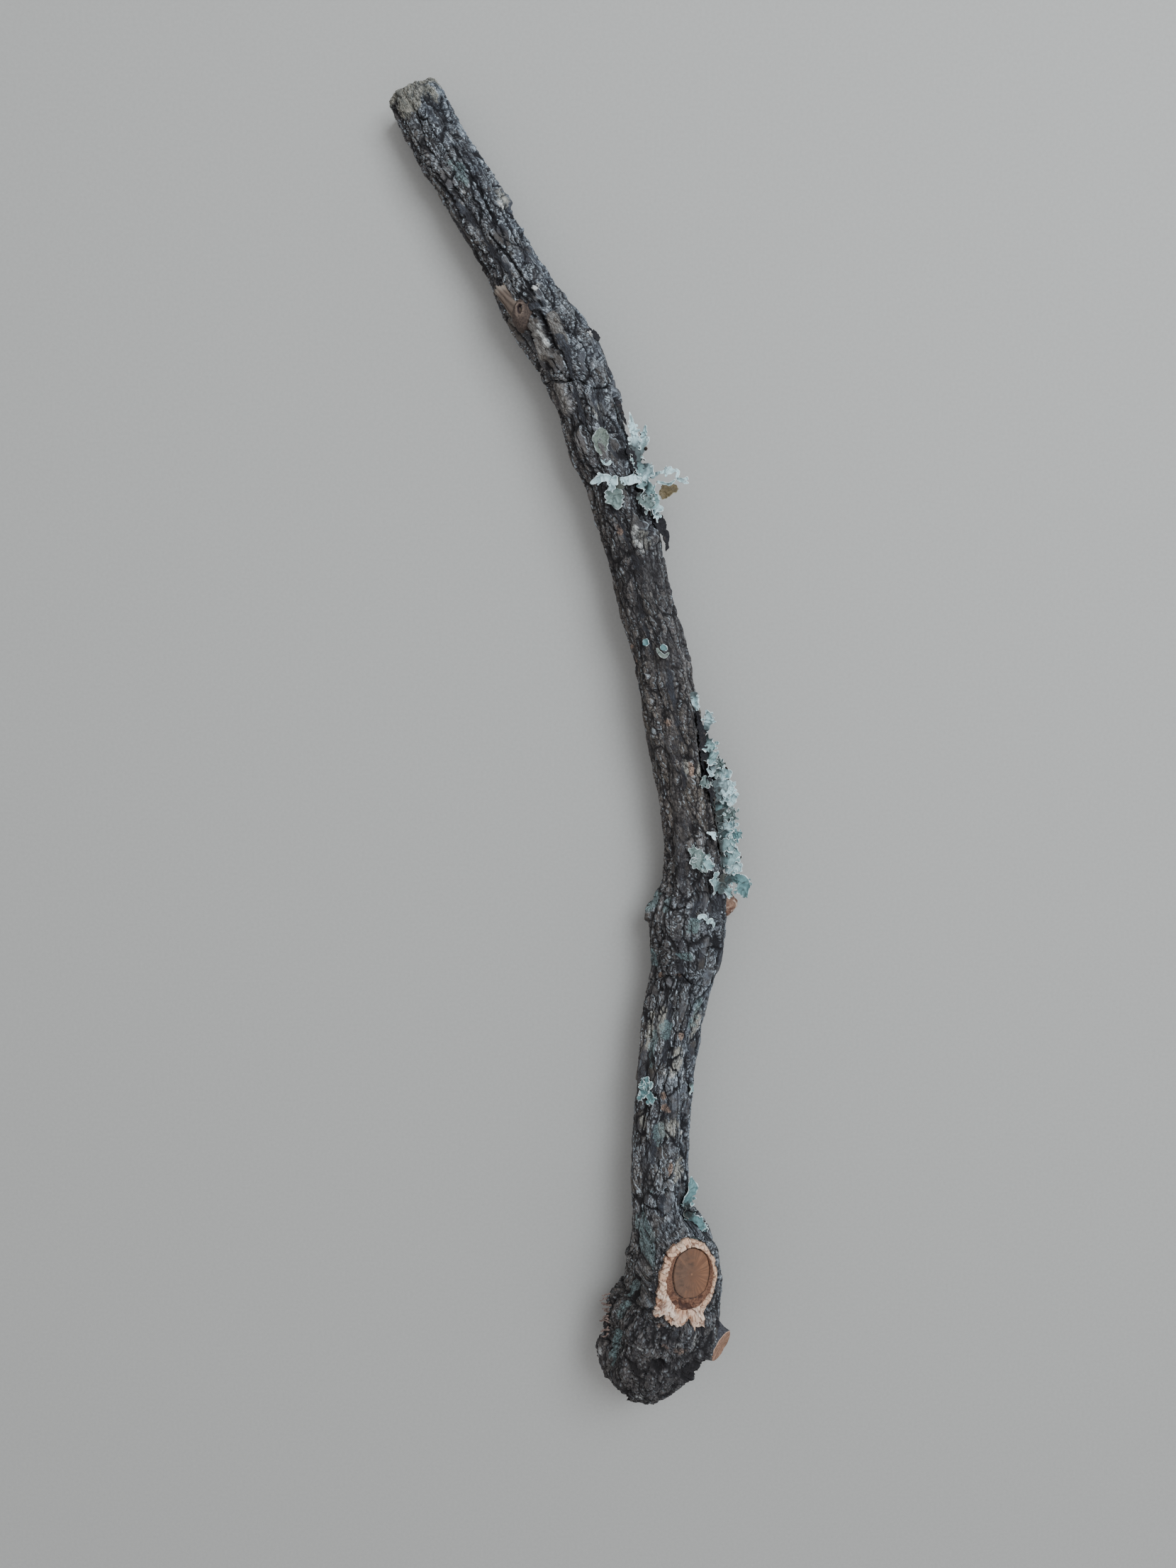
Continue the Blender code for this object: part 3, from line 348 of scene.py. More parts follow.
# Dark spots. Those at (892, 640), (899, 662) and (990, 1050), in the gaps between the bark and the lichens on
# the right, are partly dark rhizines and partly painted shadow.
DARK_SPOTS = [
    (612, 148, 2.2, 4.0), (624, 164, 1.6, 4.4), (892, 640, 1.4, 4.0), (899, 662, 1.4, 3.4),
    (896, 1800, 2.0, 4.0), (955, 1940, 4.0, 3.0), (975, 1918, 3.0, 3.0), (905, 1850, 3.0, 3.4),
    (990, 1050, 1.2, 6.0), (760, 440, 1.6, 2.0),
]
HOLLOWS = [(985, 1932, 8.0, 6.0), (1000, 1915, 6.0, 3.0), (868, 1962, 6.0, 4.0), (930, 1925, 2.6, 2.2)]
PALE_STREAKS = [
    (958, 1650, 3.0, 6.0), (983, 1440, 2.2, 6.0), (936, 1593, 2.6, 4.0), (950, 1590, 2.4, 4.0),
    (968, 1080, 2.0, 3.0), (985, 1090, 1.6, 3.0), (990, 1000, 2.4, 6.0), (934, 1440, 2.0, 6.0),
    (955, 1500, 2.6, 6.0), (975, 1580, 1.6, 8.0), (905, 760, 3.0, 4.0), (846, 580, 2.4, 3.0),
    (905, 1580, 1.4, 5.0), (917, 1450, 2.0, 8.0), (709, 282, 2.2, 4.0), (603, 117, 1.6, 1.4),
    (613, 129, 1.0, 2.2),
]

SPOTS = RUSTY_SPOTS + WHITE_FLECKS_AND_HIGHLIGHT + ALGAE + WORN_SPOTS + DARK_SPOTS + PALE_STREAKS + KNOBS + HOLLOWS
print(len(SPOTS), "spots")


# %% Masks from the lists
def across_mm(s, angle, other):
    """The way round the branch from another angle, in mm."""
    turn = (angle - other + math.pi) % (2 * math.pi) - math.pi
    return turn * np.interp(s, LINE_S, LINE[:, 3])


def patches(s, angle, marks, ragged):
    """A mask of oval marks with soft ragged edges."""
    mask = np.zeros(len(s))
    for px, py, wide, long in marks:
        s0, angle0 = place_of(px, py)
        reach = np.hypot(across_mm(s, angle, angle0) / wide, (s - s0) / long)
        mask = np.maximum(mask, 1 - step_up(reach + 0.35 * ragged, 0.7, 1.1))
    return mask


def strokes(s, angle, lines, width, ragged):
    """A mask of long marks along lines, half this wide in mm."""
    mask = np.zeros(len(s))
    for line in lines:
        spots = [place_of(*pixel) for pixel in line]
        for (s0, a0), (s1, a1) in zip(spots, spots[1:]):
            x, y = across_mm(s, angle, a0), s - s0
            dx, dy = across_mm(np.array([s1]), a1, a0)[0], s1 - s0
            share = np.clip((x * dx + y * dy) / (dx * dx + dy * dy), 0, 1)
            away = np.hypot(x - share * dx, y - share * dy)
            mask = np.maximum(mask, 1 - step_up(away + 0.5 * width * ragged, 0.55 * width, 1.15 * width))
    return mask


probe = np.linspace(0, LENGTH, 3000)
banded = strokes(probe, 0 * probe, SMOOTH_BANDS, 1.05, 0 * probe)
print("smooth bands cover", banded.mean().round(2), "of the line along the top")


# %% [markdown]
# ## The relief of the bark
#
# Four layers add up, from large to small, as on the real branch. Long wandering ridges and soft lumps are
# part of the wood itself and are the same as in the measured model. Deep fissures split the bark along the
# branch. Between them it breaks into small plates, blocky in the upper half and long and streaky above the
# foot, with larger whole plates here and there. Last come threads and grains. The foot has knobs on top of
# all that. The result is a height for every point of the surface, and masks that the finish reads later:
# where the cracks are, where plates have their pale rims, worn and painted brighter as a painted highlight on
# the side that faces the lamp, where the smooth dark bands run, and how low each place lies, for painted
# shade.

# %% How the bark changes along the branch
# Row of the view, fissure depth and plate relief in mm, and how chipped, streaky and lumpy it is, 0 to 1.
BARK_KINDS = [
    (100, 0.70, 0.46, 1.0, 0.0, 0.30), (520, 0.70, 0.46, 1.0, 0.0, 0.30), (640, 0.55, 0.40, 0.9, 0.0, 0.25),
    (760, 0.40, 0.36, 0.5, 0.1, 0.20), (860, 0.28, 0.34, 0.1, 0.1, 0.15), (1120, 0.28, 0.34, 0.0, 0.1, 0.15),
    (1230, 0.40, 0.36, 0.3, 0.0, 0.50), (1340, 0.45, 0.40, 0.4, 0.2, 0.50),
    (1400, 0.50, 0.36, 0.1, 0.8, 0.20), (1500, 0.60, 0.36, 0.0, 1.0, 0.10),
    (1670, 0.55, 0.34, 0.2, 0.8, 0.15), (1720, 0.55, 0.38, 0.9, 0.1, 0.40),
    (1860, 0.55, 0.42, 0.6, 0.0, 0.90), (1968, 0.55, 0.42, 0.6, 0.0, 0.90),
]
# Row of the view, then how blue the bark is there, and how much darker, 0 to 1.
COOL_SHARE = [
    (100, 1), (640, 0.7), (820, 0.3), (1150, 0.1), (1240, 0.6), (1400, 0.9), (1700, 0.8), (1900, 0.3),
]
DEEP_SHARE = [
    (600, 0.12), (820, 0.45), (900, 0.36), (1100, 0.08), (1350, 0.3), (1430, 0), (1700, 0), (1900, 0.2),
]
RIDGE = 0.6
RIDGES_AROUND = 8
LUMP = 0.45
FOOT_LUMP = 1.3
FOOT_START = 412.0


def wood_relief(s, angle):
    """The long ridges and lumps of the measured model."""
    ridges = np.sin(RIDGES_AROUND * angle + 1.9 * np.sin(s / 41) + s / 70)
    cross = np.sin(5 * angle - s / 29 + 1.0)
    places = zip((1.5 * np.cos(angle)).tolist(), (1.5 * np.sin(angle)).tolist(), (s / 17).tolist())
    lump = np.array([noise.noise(place) for place in places])
    foot = np.clip((s - FOOT_START) / 30, 0, 1)
    fade = np.clip((LENGTH - s) / 16, 0.15, 1)
    return (RIDGE * ridges + 0.5 * RIDGE * cross + (LUMP + FOOT_LUMP * foot) * 1.6 * lump) * fade


heights = wood_relief(probe, probe)
print("ridges and lumps from", heights.min().round(2), "to", heights.max().round(2), "mm")


# %% [markdown]
# ## Plates
#
# Four patterns of cells lie ready: blocks, long streaks, slanted chips and large plates. Chance picks one of
# them at each place, and the kind of bark there sets the odds. Each plate is tilted its own way, which
# catches the light on some and leaves others dark.

# %% The small plates
# A large plate stays whole where its number, 0 to 1, is above this, between these rows of the view.
WHOLE_PLATE = 0.74
WHOLE_ROWS = ((230, 760), (1240, 1690))
PLATE_TURN = 6.3


def own_tilt(own, offset):
    """A height that tilts each plate its own way, from the plate's number and the place in it."""
    way = np.stack([np.cos(PLATE_TURN * own), np.sin(PLATE_TURN * own), 0.5 + 0 * own], axis=1)
    return (offset * way).sum(axis=1)


def plates(flat, bent, row, streaky, chippy):
    """How near the crack is, the plate's number, the place in the plate, and where a large plate is whole."""
    slant = 0.45 * flat[:, 2:] * [1, 0, 0]
    block = cells(bent, [2.0, 2.0, 2.6], 21)
    streak = cells(bent, [1.15, 1.15, 6.0], 31)
    chip = cells(bent + slant, [1.35, 1.35, 2.5], 41)
    large = cells(bent, [3.6, 3.6, 7.5], 25)
    chance = 0.5 + 0.5 * clouds(flat / [1, 1, 2], 3.5, 72)
    gap, own, shift = block[1:]
    for kind, weight in ((streak, streaky), (chip, chippy)):
        here = weight > chance
        gap = np.where(here, kind[1], gap)
        own = np.where(here, kind[2], own)
        shift = np.where(here[:, None], kind[3], shift)
    whole = step_up(large[2], WHOLE_PLATE, WHOLE_PLATE + 0.01)
    whole = whole * sum((row > low) & (row < high) for low, high in WHOLE_ROWS)
    unbroken = whole > 0.5
    gap = np.where(unbroken, 1.8 * large[1], gap)
    own = np.where(unbroken, (large[2] - WHOLE_PLATE) / (1 - WHOLE_PLATE), own)
    shift = np.where(unbroken[:, None], 0.6 * large[3], shift)
    return gap, own, shift, whole


# %% The whole relief and its masks
FOOT_ROWS = (1800, 1880)
DARK_MIDDLE = [(740, 0), (840, 1), (1060, 1), (1220, 0)]


def bark_relief(s, angle):
    """Height of the fine bark in mm, and the masks for its finish."""
    row = np.interp(s, LINE_S, LINE_ROW)
    fissure_depth, plate_height, chippy, streaky, lumpy = (between(BARK_KINDS, row, k) for k in range(1, 6))
    radius = np.interp(s, LINE_S, LINE[:, 3])
    flat = np.stack([radius * np.sin(angle), radius * np.cos(angle), s], axis=1)
    # Cracks are read at bent places, so that none of them runs straight.
    wander = np.stack([clouds(flat, 5.0, 40 + k) for k in range(3)], axis=1)
    fine_wander = np.stack([clouds(flat, 1.3, 50 + k) for k in range(3)], axis=1)
    bent = flat + 1.1 * wander + 0.35 * fine_wander
    ragged = clouds(flat, 1.6, 61) + 0.6 * clouds(flat, 0.7, 62)
    gap_long = cells(bent, [3.8, 3.8, 17.0], 11)[1]
    gap, own, shift, whole = plates(flat, bent, row, streaky, chippy)
    to_right = shift[:, 0] * np.cos(angle) - shift[:, 1] * np.sin(angle)

    fissure = 1 - step_up(gap_long, 0.01, 0.10)
    valley = 1 - step_up(gap_long, 0.06, 0.40)
    crevice = 1 - step_up(gap, 0.01, 0.13)
    # Pale rims round the plates: worn pale, and painted brighter on each plate's right side, towards the
    # lamp, as a painted highlight.
    rim = np.exp(-(((gap - 0.20) / 0.10) ** 2)) * (0.25 + 0.75 * step_up(to_right, -0.05, 0.30))
    # Smooth bands: the listed ones, and some more by chance, mostly along the dark middle of the branch.
    band = strokes(s, angle, SMOOTH_BANDS, 1.05, 1.3 * ragged + 1.5 * clouds(flat, 4.0, 63))
    dark_middle = between(DARK_MIDDLE, row)
    hushed = clouds(flat / [1, 1, 3.5], 4.5, 71)
    quiet = step_up(hushed, 0.42 - 0.14 * dark_middle, 0.75 - 0.1 * dark_middle)
    band = np.maximum(band, (0.6 - 0.15 * dark_middle) * quiet)
    long_plate = strokes(s, angle, LONG_PLATES, 2.7, 0.25 * ragged)
    cross_crack = strokes(s, angle, CROSS_CRACKS, 0.42, 0.4 * ragged)
    long_crack = strokes(s, angle, LONG_CRACKS, 0.55, 1.8 * ragged)
    calm = 1 - np.maximum(0.75 * band, 0.55 * long_plate)

    # Everything adds up, from lumps to grains.
    height = 0.16 + 0.22 * clouds(flat, 3.2, 81) + 0.7 * lumpy * clouds(flat, 4.0, 82)
    height += 1.7 * long_plate - 0.35 * band + 1.4 * patches(s, angle, KNOBS, ragged)
    height += 0.25 * whole * calm - 0.28 * valley * calm
    height -= fissure_depth * fissure * calm
    plate = 0.65 * (own - 0.5) + 0.15 * rim + 0.55 * own_tilt(own, shift) - 0.9 * crevice
    height += calm * plate_height * plate
    thread = 1 - 2 * np.abs(clouds(bent / [1, 1, 3.2], 1.1, 85))
    grains = 0.08 * clouds(flat, 0.8, 83) + 0.05 * clouds(flat, 0.45, 84)
    height += 0.12 * thread + (1 - 0.7 * whole) * grains
    height -= 0.9 * long_crack + 0.75 * cross_crack + 2.6 * patches(s, angle, HOLLOWS, ragged)
    # How high each place lies, 0 to 1: by it the finish paints shade in the low ground.
    level = np.clip(0.5 + height / 1.6, 0, 1)
    # The foot is knobbly on top of that.
    foot = step_up(row, *FOOT_ROWS)
    knobs = cells(bent, [3.8, 3.8, 3.2], 27)
    facets = knobs[2] - 0.55 + 0.8 * own_tilt(knobs[2], knobs[3])
    height += foot * (facets - 0.6 * (1 - step_up(knobs[1], 0.0, 0.12)))
    crack = np.maximum(np.maximum(fissure * calm, 0.75 * crevice * calm), np.maximum(long_crack, cross_crack))
    # Bluer by the rows above, and painted bluer and lighter on the side that faces the lamp, as painted
    # light.
    blue_and_lit_side = between(COOL_SHARE, row) * np.clip(0.64 + 0.42 * np.sin(angle), 0, 1)
    deep = np.maximum(between(DEEP_SHARE, row), 0.75 * patches(s, angle, DARK_SPOTS, ragged))
    marks = {
        "crack": crack,
        "rim": rim * calm * (0.4 + 0.6 * own),
        "own": own,
        "band": np.clip(band - 0.3 * crack, 0, 1),
        "rust": patches(s, angle, RUSTY_SPOTS, ragged),
        "white": patches(s, angle, WHITE_FLECKS_AND_HIGHLIGHT, ragged),
        "algae": patches(s, angle, ALGAE, ragged) * (0.55 + 0.45 * (1 - crack)),
        "pale": patches(s, angle, PALE_STREAKS, ragged),
        "level": level,
        "foot": foot,
        "streaky": streaky,
        "blue_and_lit_side": blue_and_lit_side,
        "deep": deep,
        "whole": whole,
        "raised": long_plate,
        "unrolled": flat,
    }
    return height, marks


probe = np.linspace(20, LENGTH - 40, 3000)
heights = bark_relief(probe, probe)[0]
print("fine relief from", heights.min().round(2), "to", heights.max().round(2), "mm")

# %% [markdown]
# ## From a flat sheet to a closed form
#
# Nearly everything round on this branch, the bark itself, the scar and each stub, can start as the same
# thing: a flat grid that is rolled up. Its columns go round, its rows go along, its first and last rows
# shrink to a point, and merging the points that then lie on each other closes the form without a seam. A
# cylinder primitive would do for a pipe, but the sheet lets each form choose freely where its rows go, over
# a rim and down into a hollow too.

# %% Lay out a sheet
TRIANGLES = {}


def nothing_selected():
    if bpy.context.mode != "OBJECT":
        bpy.ops.object.mode_set(mode="OBJECT")
    bpy.ops.object.select_all(action="DESELECT")


def take(*pieces):
    """Selects just these pieces, the first one active."""
    nothing_selected()
    for piece in pieces:
        piece.select_set(True)
    bpy.context.view_layer.objects.active = pieces[0]


def flat_sheet(name, rows, columns):
    """A grid primitive, with the row and the column number of each of its points."""
    nothing_selected()
    bpy.ops.mesh.primitive_grid_add(x_subdivisions=columns, y_subdivisions=rows, size=2, location=(0, 0, 0))
    piece = bpy.context.object
    piece.name = name
    piece.data.name = name
    points = np.empty(len(piece.data.vertices) * 3, np.float32)
    piece.data.vertices.foreach_get("co", points)
    points = points.reshape(-1, 3)
    row = np.rint((points[:, 1] + 1) / 2 * rows).astype(int)
    column = np.rint((points[:, 0] + 1) / 2 * columns).astype(int)
    return piece, row, column


# %% Shape it, close it and count it
def set_points(piece, points):
    piece.data.vertices.foreach_set("co", (points * MM).astype(np.float32).ravel())
    piece.data.update()


def paint(piece, marks):
    """Writes each mask on the mesh's points, for the finish to read by its name."""
    for name, values in marks.items():
        values = np.asarray(values, np.float32)
        kind, key = ("FLOAT", "value") if values.ndim == 1 else ("FLOAT_VECTOR", "vector")
        layer = piece.data.attributes.new(name, kind, "POINT")
        layer.data.foreach_set(key, values.ravel())


def seal(piece, reach=0.002, outward=True):
    """Merges points that lie within the reach in mm, and turns the faces of a closed form outward."""
    take(piece)
    bpy.ops.object.mode_set(mode="EDIT")
    bpy.ops.mesh.select_all(action="SELECT")
    bpy.ops.mesh.remove_doubles(threshold=reach * MM)
    if outward:
        bpy.ops.mesh.normals_make_consistent(inside=False)
    bpy.ops.object.mode_set(mode="OBJECT")
    bpy.ops.object.shade_smooth()


def count(piece):
    piece.data.calc_loop_triangles()
    TRIANGLES[piece.name] = len(piece.data.loop_triangles)
    print(piece.name, TRIANGLES[piece.name], "triangles")


def rolled(name, rows, sides, shape):
    """A closed form rolled up from a sheet. shape(row, angle) gives the points in mm and the masks."""
    piece, row, column = flat_sheet(name, rows, sides)
    points, marks = shape(row, 2 * math.pi * (column % sides) / sides)
    set_points(piece, points)
    paint(piece, marks)
    seal(piece)
    count(piece)
    return piece


# %% [markdown]
# ## Where the side shoots were
#
# Four side shoots have left something behind: the big round scar at the foot, the short stub beside it, the
# broken bud on the knee and the peeled spur near the top. Each stands on an axis of its own that leans out
# of the branch. The bark has to rise to meet the scar, like the collar of a real branch, so the scar's place
# is needed first.

# %% Places and axes of the scar and the stubs
SCAR = seen_at(976, 1798, 36.8)
SCAR_OUT = (0.27, -0.03, 0.96)
SCAR_RIM = (13.4, 19.2, -2.0, -3.9)
STUB = seen_at(1018, 1898, 24.0)
STUB_OUT = (0.74, -0.33, 0.58)
BUD = seen_at(1032, 1282, 14.5)
BUD_OUT = (0.80, -0.58, 0.15)
SPUR_TIP = seen_at(704, 405, 19.4)
SPUR_OUT = (-0.68, 0.72, 0.10)
HOLLOW = hug(734, 437, 0.4)
HOLLOW_OUT = (-0.42, 0.02, 0.9)
print("the scar stands", float(SCAR[2]), "mm over the table, the stub", float(STUB[2]), "mm")


def axes_of(out):
    """The across, lengthwise and outward directions of something that stands on an axis."""
    out = unit(np.array(out, float))
    lengthwise = unit(np.array([0.0, 1.0, 0.0]) - out * out[1])
    return np.cross(lengthwise, out), lengthwise, out


def softly_over(values, floor, width=1.2):
    """The larger of two heights, with a rounded step where they cross."""
    share = np.clip((values - floor) / width * 0.5 + 0.5, 0, 1)
    return floor + (values - floor) * share + width * share * (1 - share)


# %% Bark that climbs to the scar
def raised_to_scar(points, marks):
    """Bark that climbs to the scar's rim, chipped where it is steep, and dips under the cut wood."""
    across, lengthwise, out = axes_of(SCAR_OUT)
    place = points - SCAR
    x, y, height = place @ across, place @ lengthwise, place @ out
    wide, long, shift_x, shift_y = SCAR_RIM
    reach = np.hypot((x - shift_x) / wide, (y - shift_y) / long)
    collar = -1.3 - 8.5 * step_up(reach, 0.99, 1.27) - 60 * np.clip(reach - 1.27, 0, 1)
    near = height > -14
    lifted = np.where(near, softly_over(height, collar, 2.2), height)
    lifted = np.where(near & (reach < 0.96), np.minimum(lifted, -2.2), lifted)
    lift = out * (lifted - height)[:, None]
    points = points + lift
    marks["unrolled"] = marks["unrolled"] + 0.8 * lift
    steep = np.clip((lifted - height - 0.8) / 1.5, 0, 1) * (reach > 0.99)
    chunk = cells(points + 0.5 * clouds(points, 1.5, 94)[:, None], [1.8, 1.8, 1.8], 95)
    seam = 1 - step_up(chunk[1], 0.01, 0.13)
    away = unit(across * (x - shift_x)[:, None] + lengthwise * (y - shift_y)[:, None])
    marks["own"] = np.where(steep > 0.3, chunk[2], marks["own"])
    marks["crack"] = np.where(steep > 0.3, seam, marks["crack"])
    marks["level"] = np.where(steep > 0.3, 0.35 + 0.3 * chunk[2], marks["level"])
    return points + away * (steep * (1.2 * (chunk[2] - 0.5) - 0.5 * seam))[:, None]


# %% [markdown]
# ## The bark
#
# The bark is one skin, made in three lengths so that each mesh stays light enough to handle: each length has
# a point every third of a millimetre. They meet where the real bark has a crack across it, at the horizontal
# crack under the upper smooth band and at the long crack below the knee. There the end of one length tucks
# in under the next, as a flake of bark does, so the crack is real and no gap shows.

# %% The two cracks where the lengths meet
UPPER_CRACK = [(760, 545), (778, 537), (797, 541), (812, 536), (840, 545), (858, 540)]
KNEE_CRACK = [(917, 1383), (926, 1380), (960, 1381), (980, 1392), (998, 1394), (1008, 1388)]
CRACK_DEPTH = 0.95


def crack_path(line, angle):
    """Where a crack runs, for each angle round the branch: mm from the top end."""
    spots = sorted(place_of(*pixel)[::-1] for pixel in line)
    angles = [spot[0] for spot in spots]
    lengths = [spot[1] for spot in spots]
    turn = (angle + math.pi) % (2 * math.pi) - math.pi
    waver = 0.5 * np.sin(3 * turn) + 0.3 * np.sin(11 * turn)
    return np.interp(turn, angles, lengths, period=2 * math.pi) + waver


for crack in (UPPER_CRACK, KNEE_CRACK):
    around = crack_path(crack, np.linspace(-math.pi, math.pi, 60))
    print("a crack across, from", around.min().round(1), "to", around.max().round(1), "mm from the top end")

# %% [markdown]
# ## The ends of the bark
#
# The top end is torn: its rim leans with the tear and its face sinks in a little. The underside of the foot
# is rounded off over a quarter turn. An end that meets the next length closes inside the wood, out of sight.

# %% Shape one length
# How many rows of the sheet make the torn face, the end that is tucked in, and the underside of the foot.
TOP_ROWS = 5
TUCKED_ROWS = 3
FOOT_END_ROWS = 14


def broken_top(row, s, angle, point, ring, along):
    """The torn end: its first rows make the face, and the bark behind is drawn along with the tear."""
    tear = 0.8 * (0.7 * np.sin(3 * angle + 1) + 3.2 * np.maximum(0.0, np.sin(angle - 0.4)) ** 2)
    inward = np.interp(row, range(6), [0.0, 0.4, 0.72, 0.88, 0.96, 1.0])
    sink = np.interp(row, [0, 2, 3, 4, 5], [1.4, 1.2, 0.6, 0.0, 0.35])
    push = np.where(row <= TOP_ROWS, tear + sink, np.clip(1 - s / 6, 0, 1) * (tear + 0.35))
    return point + ring * inward[:, None] + along * push[:, None]


def rounded_foot(turn, out, angle, point, ring, along):
    """The underside of the foot, rounded off over a quarter turn, with knobs."""
    shrink = np.cos(turn * math.pi / 2)
    face = np.stack([out * shrink * np.sin(angle), out * shrink * np.cos(angle), 0 * out], axis=1)
    bulge = 1.2 + 2.2 * cells(face, 2.8, 91)[2] + 0.8 * clouds(face, 1.4, 92)
    return point + ring * shrink[:, None] + along * (bulge * np.sin(turn * math.pi / 2))[:, None]


def bark_shape(rows, start, end):
    """The shape of one length of bark, between two crack lines or the ends of the branch."""
    first = TOP_ROWS if start is None else TUCKED_ROWS
    last = rows - (FOOT_END_ROWS if end is None else TUCKED_ROWS)

    def shape(row, angle):
        s0 = np.zeros(len(angle)) if start is None else crack_path(start, angle)
        s1 = np.full(len(angle), LENGTH) if end is None else crack_path(end, angle)
        s = s0 + (s1 - s0) * np.clip((row - first) / (last - first), 0, 1)
        fine, marks = bark_relief(s, angle)
        lift = wood_relief(s, angle) + fine
        if start is not None:
            lift = lift - CRACK_DEPTH * (row <= first) - 1.8 * (row == first - 1)
            s = s + 0.9 * (row < first)
        if end is not None:
            lift = lift - CRACK_DEPTH * (row >= last) - 1.0 * (row == last + 1) - 1.4 * (row == last + 2)
            s = s + 0.8 * (row > last)
        point, radius, flat, along, side, up = middle(s)
        out = radius + lift
        ring = side * (out * np.sin(angle))[:, None] + up * (out * flat * np.cos(angle))[:, None]
        points = point + ring
        if start is None:
            points = broken_top(row, s, angle, point, ring, along)
        if end is None:
            turn = np.clip((row - last) / (rows - last), 0, 1)
            points = rounded_foot(turn, out, angle, point, ring, along)
        for pole, is_free, push in ((0, start is None, 1.8), (rows, end is None, 2.0)):
            here = row == pole
            hub = np.interp(np.median(s[here]), LINE_S, np.arange(len(LINE)))
            points[here] = (point + along * push)[here] if is_free else LINE[int(round(float(hub))), :3]
        points = raised_to_scar(points, marks)
        points[:, 2] = np.maximum(points[:, 2], 0.0)
        worn = patches(s, angle, WORN_SPOTS, clouds(points, 1.2, 64))
        marks["top"] = np.maximum(1 - step_up(s, 0.6, 3.2), worn)
        marks["crack"] = marks["crack"] * (1 - 0.6 * marks["top"])
        marks["level"] = np.maximum(marks["level"], 0.45 * marks["top"])
        return points, marks

    return shape


# %% Make the three lengths
DETAIL = 1.0
bark = []
for name, rows, sides, start, end in (
    ("bark_top", 330, 176, None, UPPER_CRACK),
    ("bark_middle", 520, 186, UPPER_CRACK, KNEE_CRACK),
    ("bark_foot", 400, 240, KNEE_CRACK, None),
):
    rows = int(rows * DETAIL)
    bark.append(rolled(name, rows, int(sides * DETAIL), bark_shape(rows, start, end)))

# %% [markdown]
# ## Mixing a finish
#
# A finish here is a small network of nodes that ends in one shader. The helper below adds one node per call
# and hands back its output, so that a finish reads like a recipe: take this mark, break it up with grain,
# mix two colours by it. Colours are given as they look on a screen, 0 to 255, and turned into light values.

# %% The mixing bench
def light_of(colour):
    """A colour as a screen shows it, turned into the linear light that a shader mixes."""
    return tuple(((c / 255 + 0.055) / 1.055) ** 2.4 if c > 10 else c / 255 / 12.92 for c in colour) + (1,)


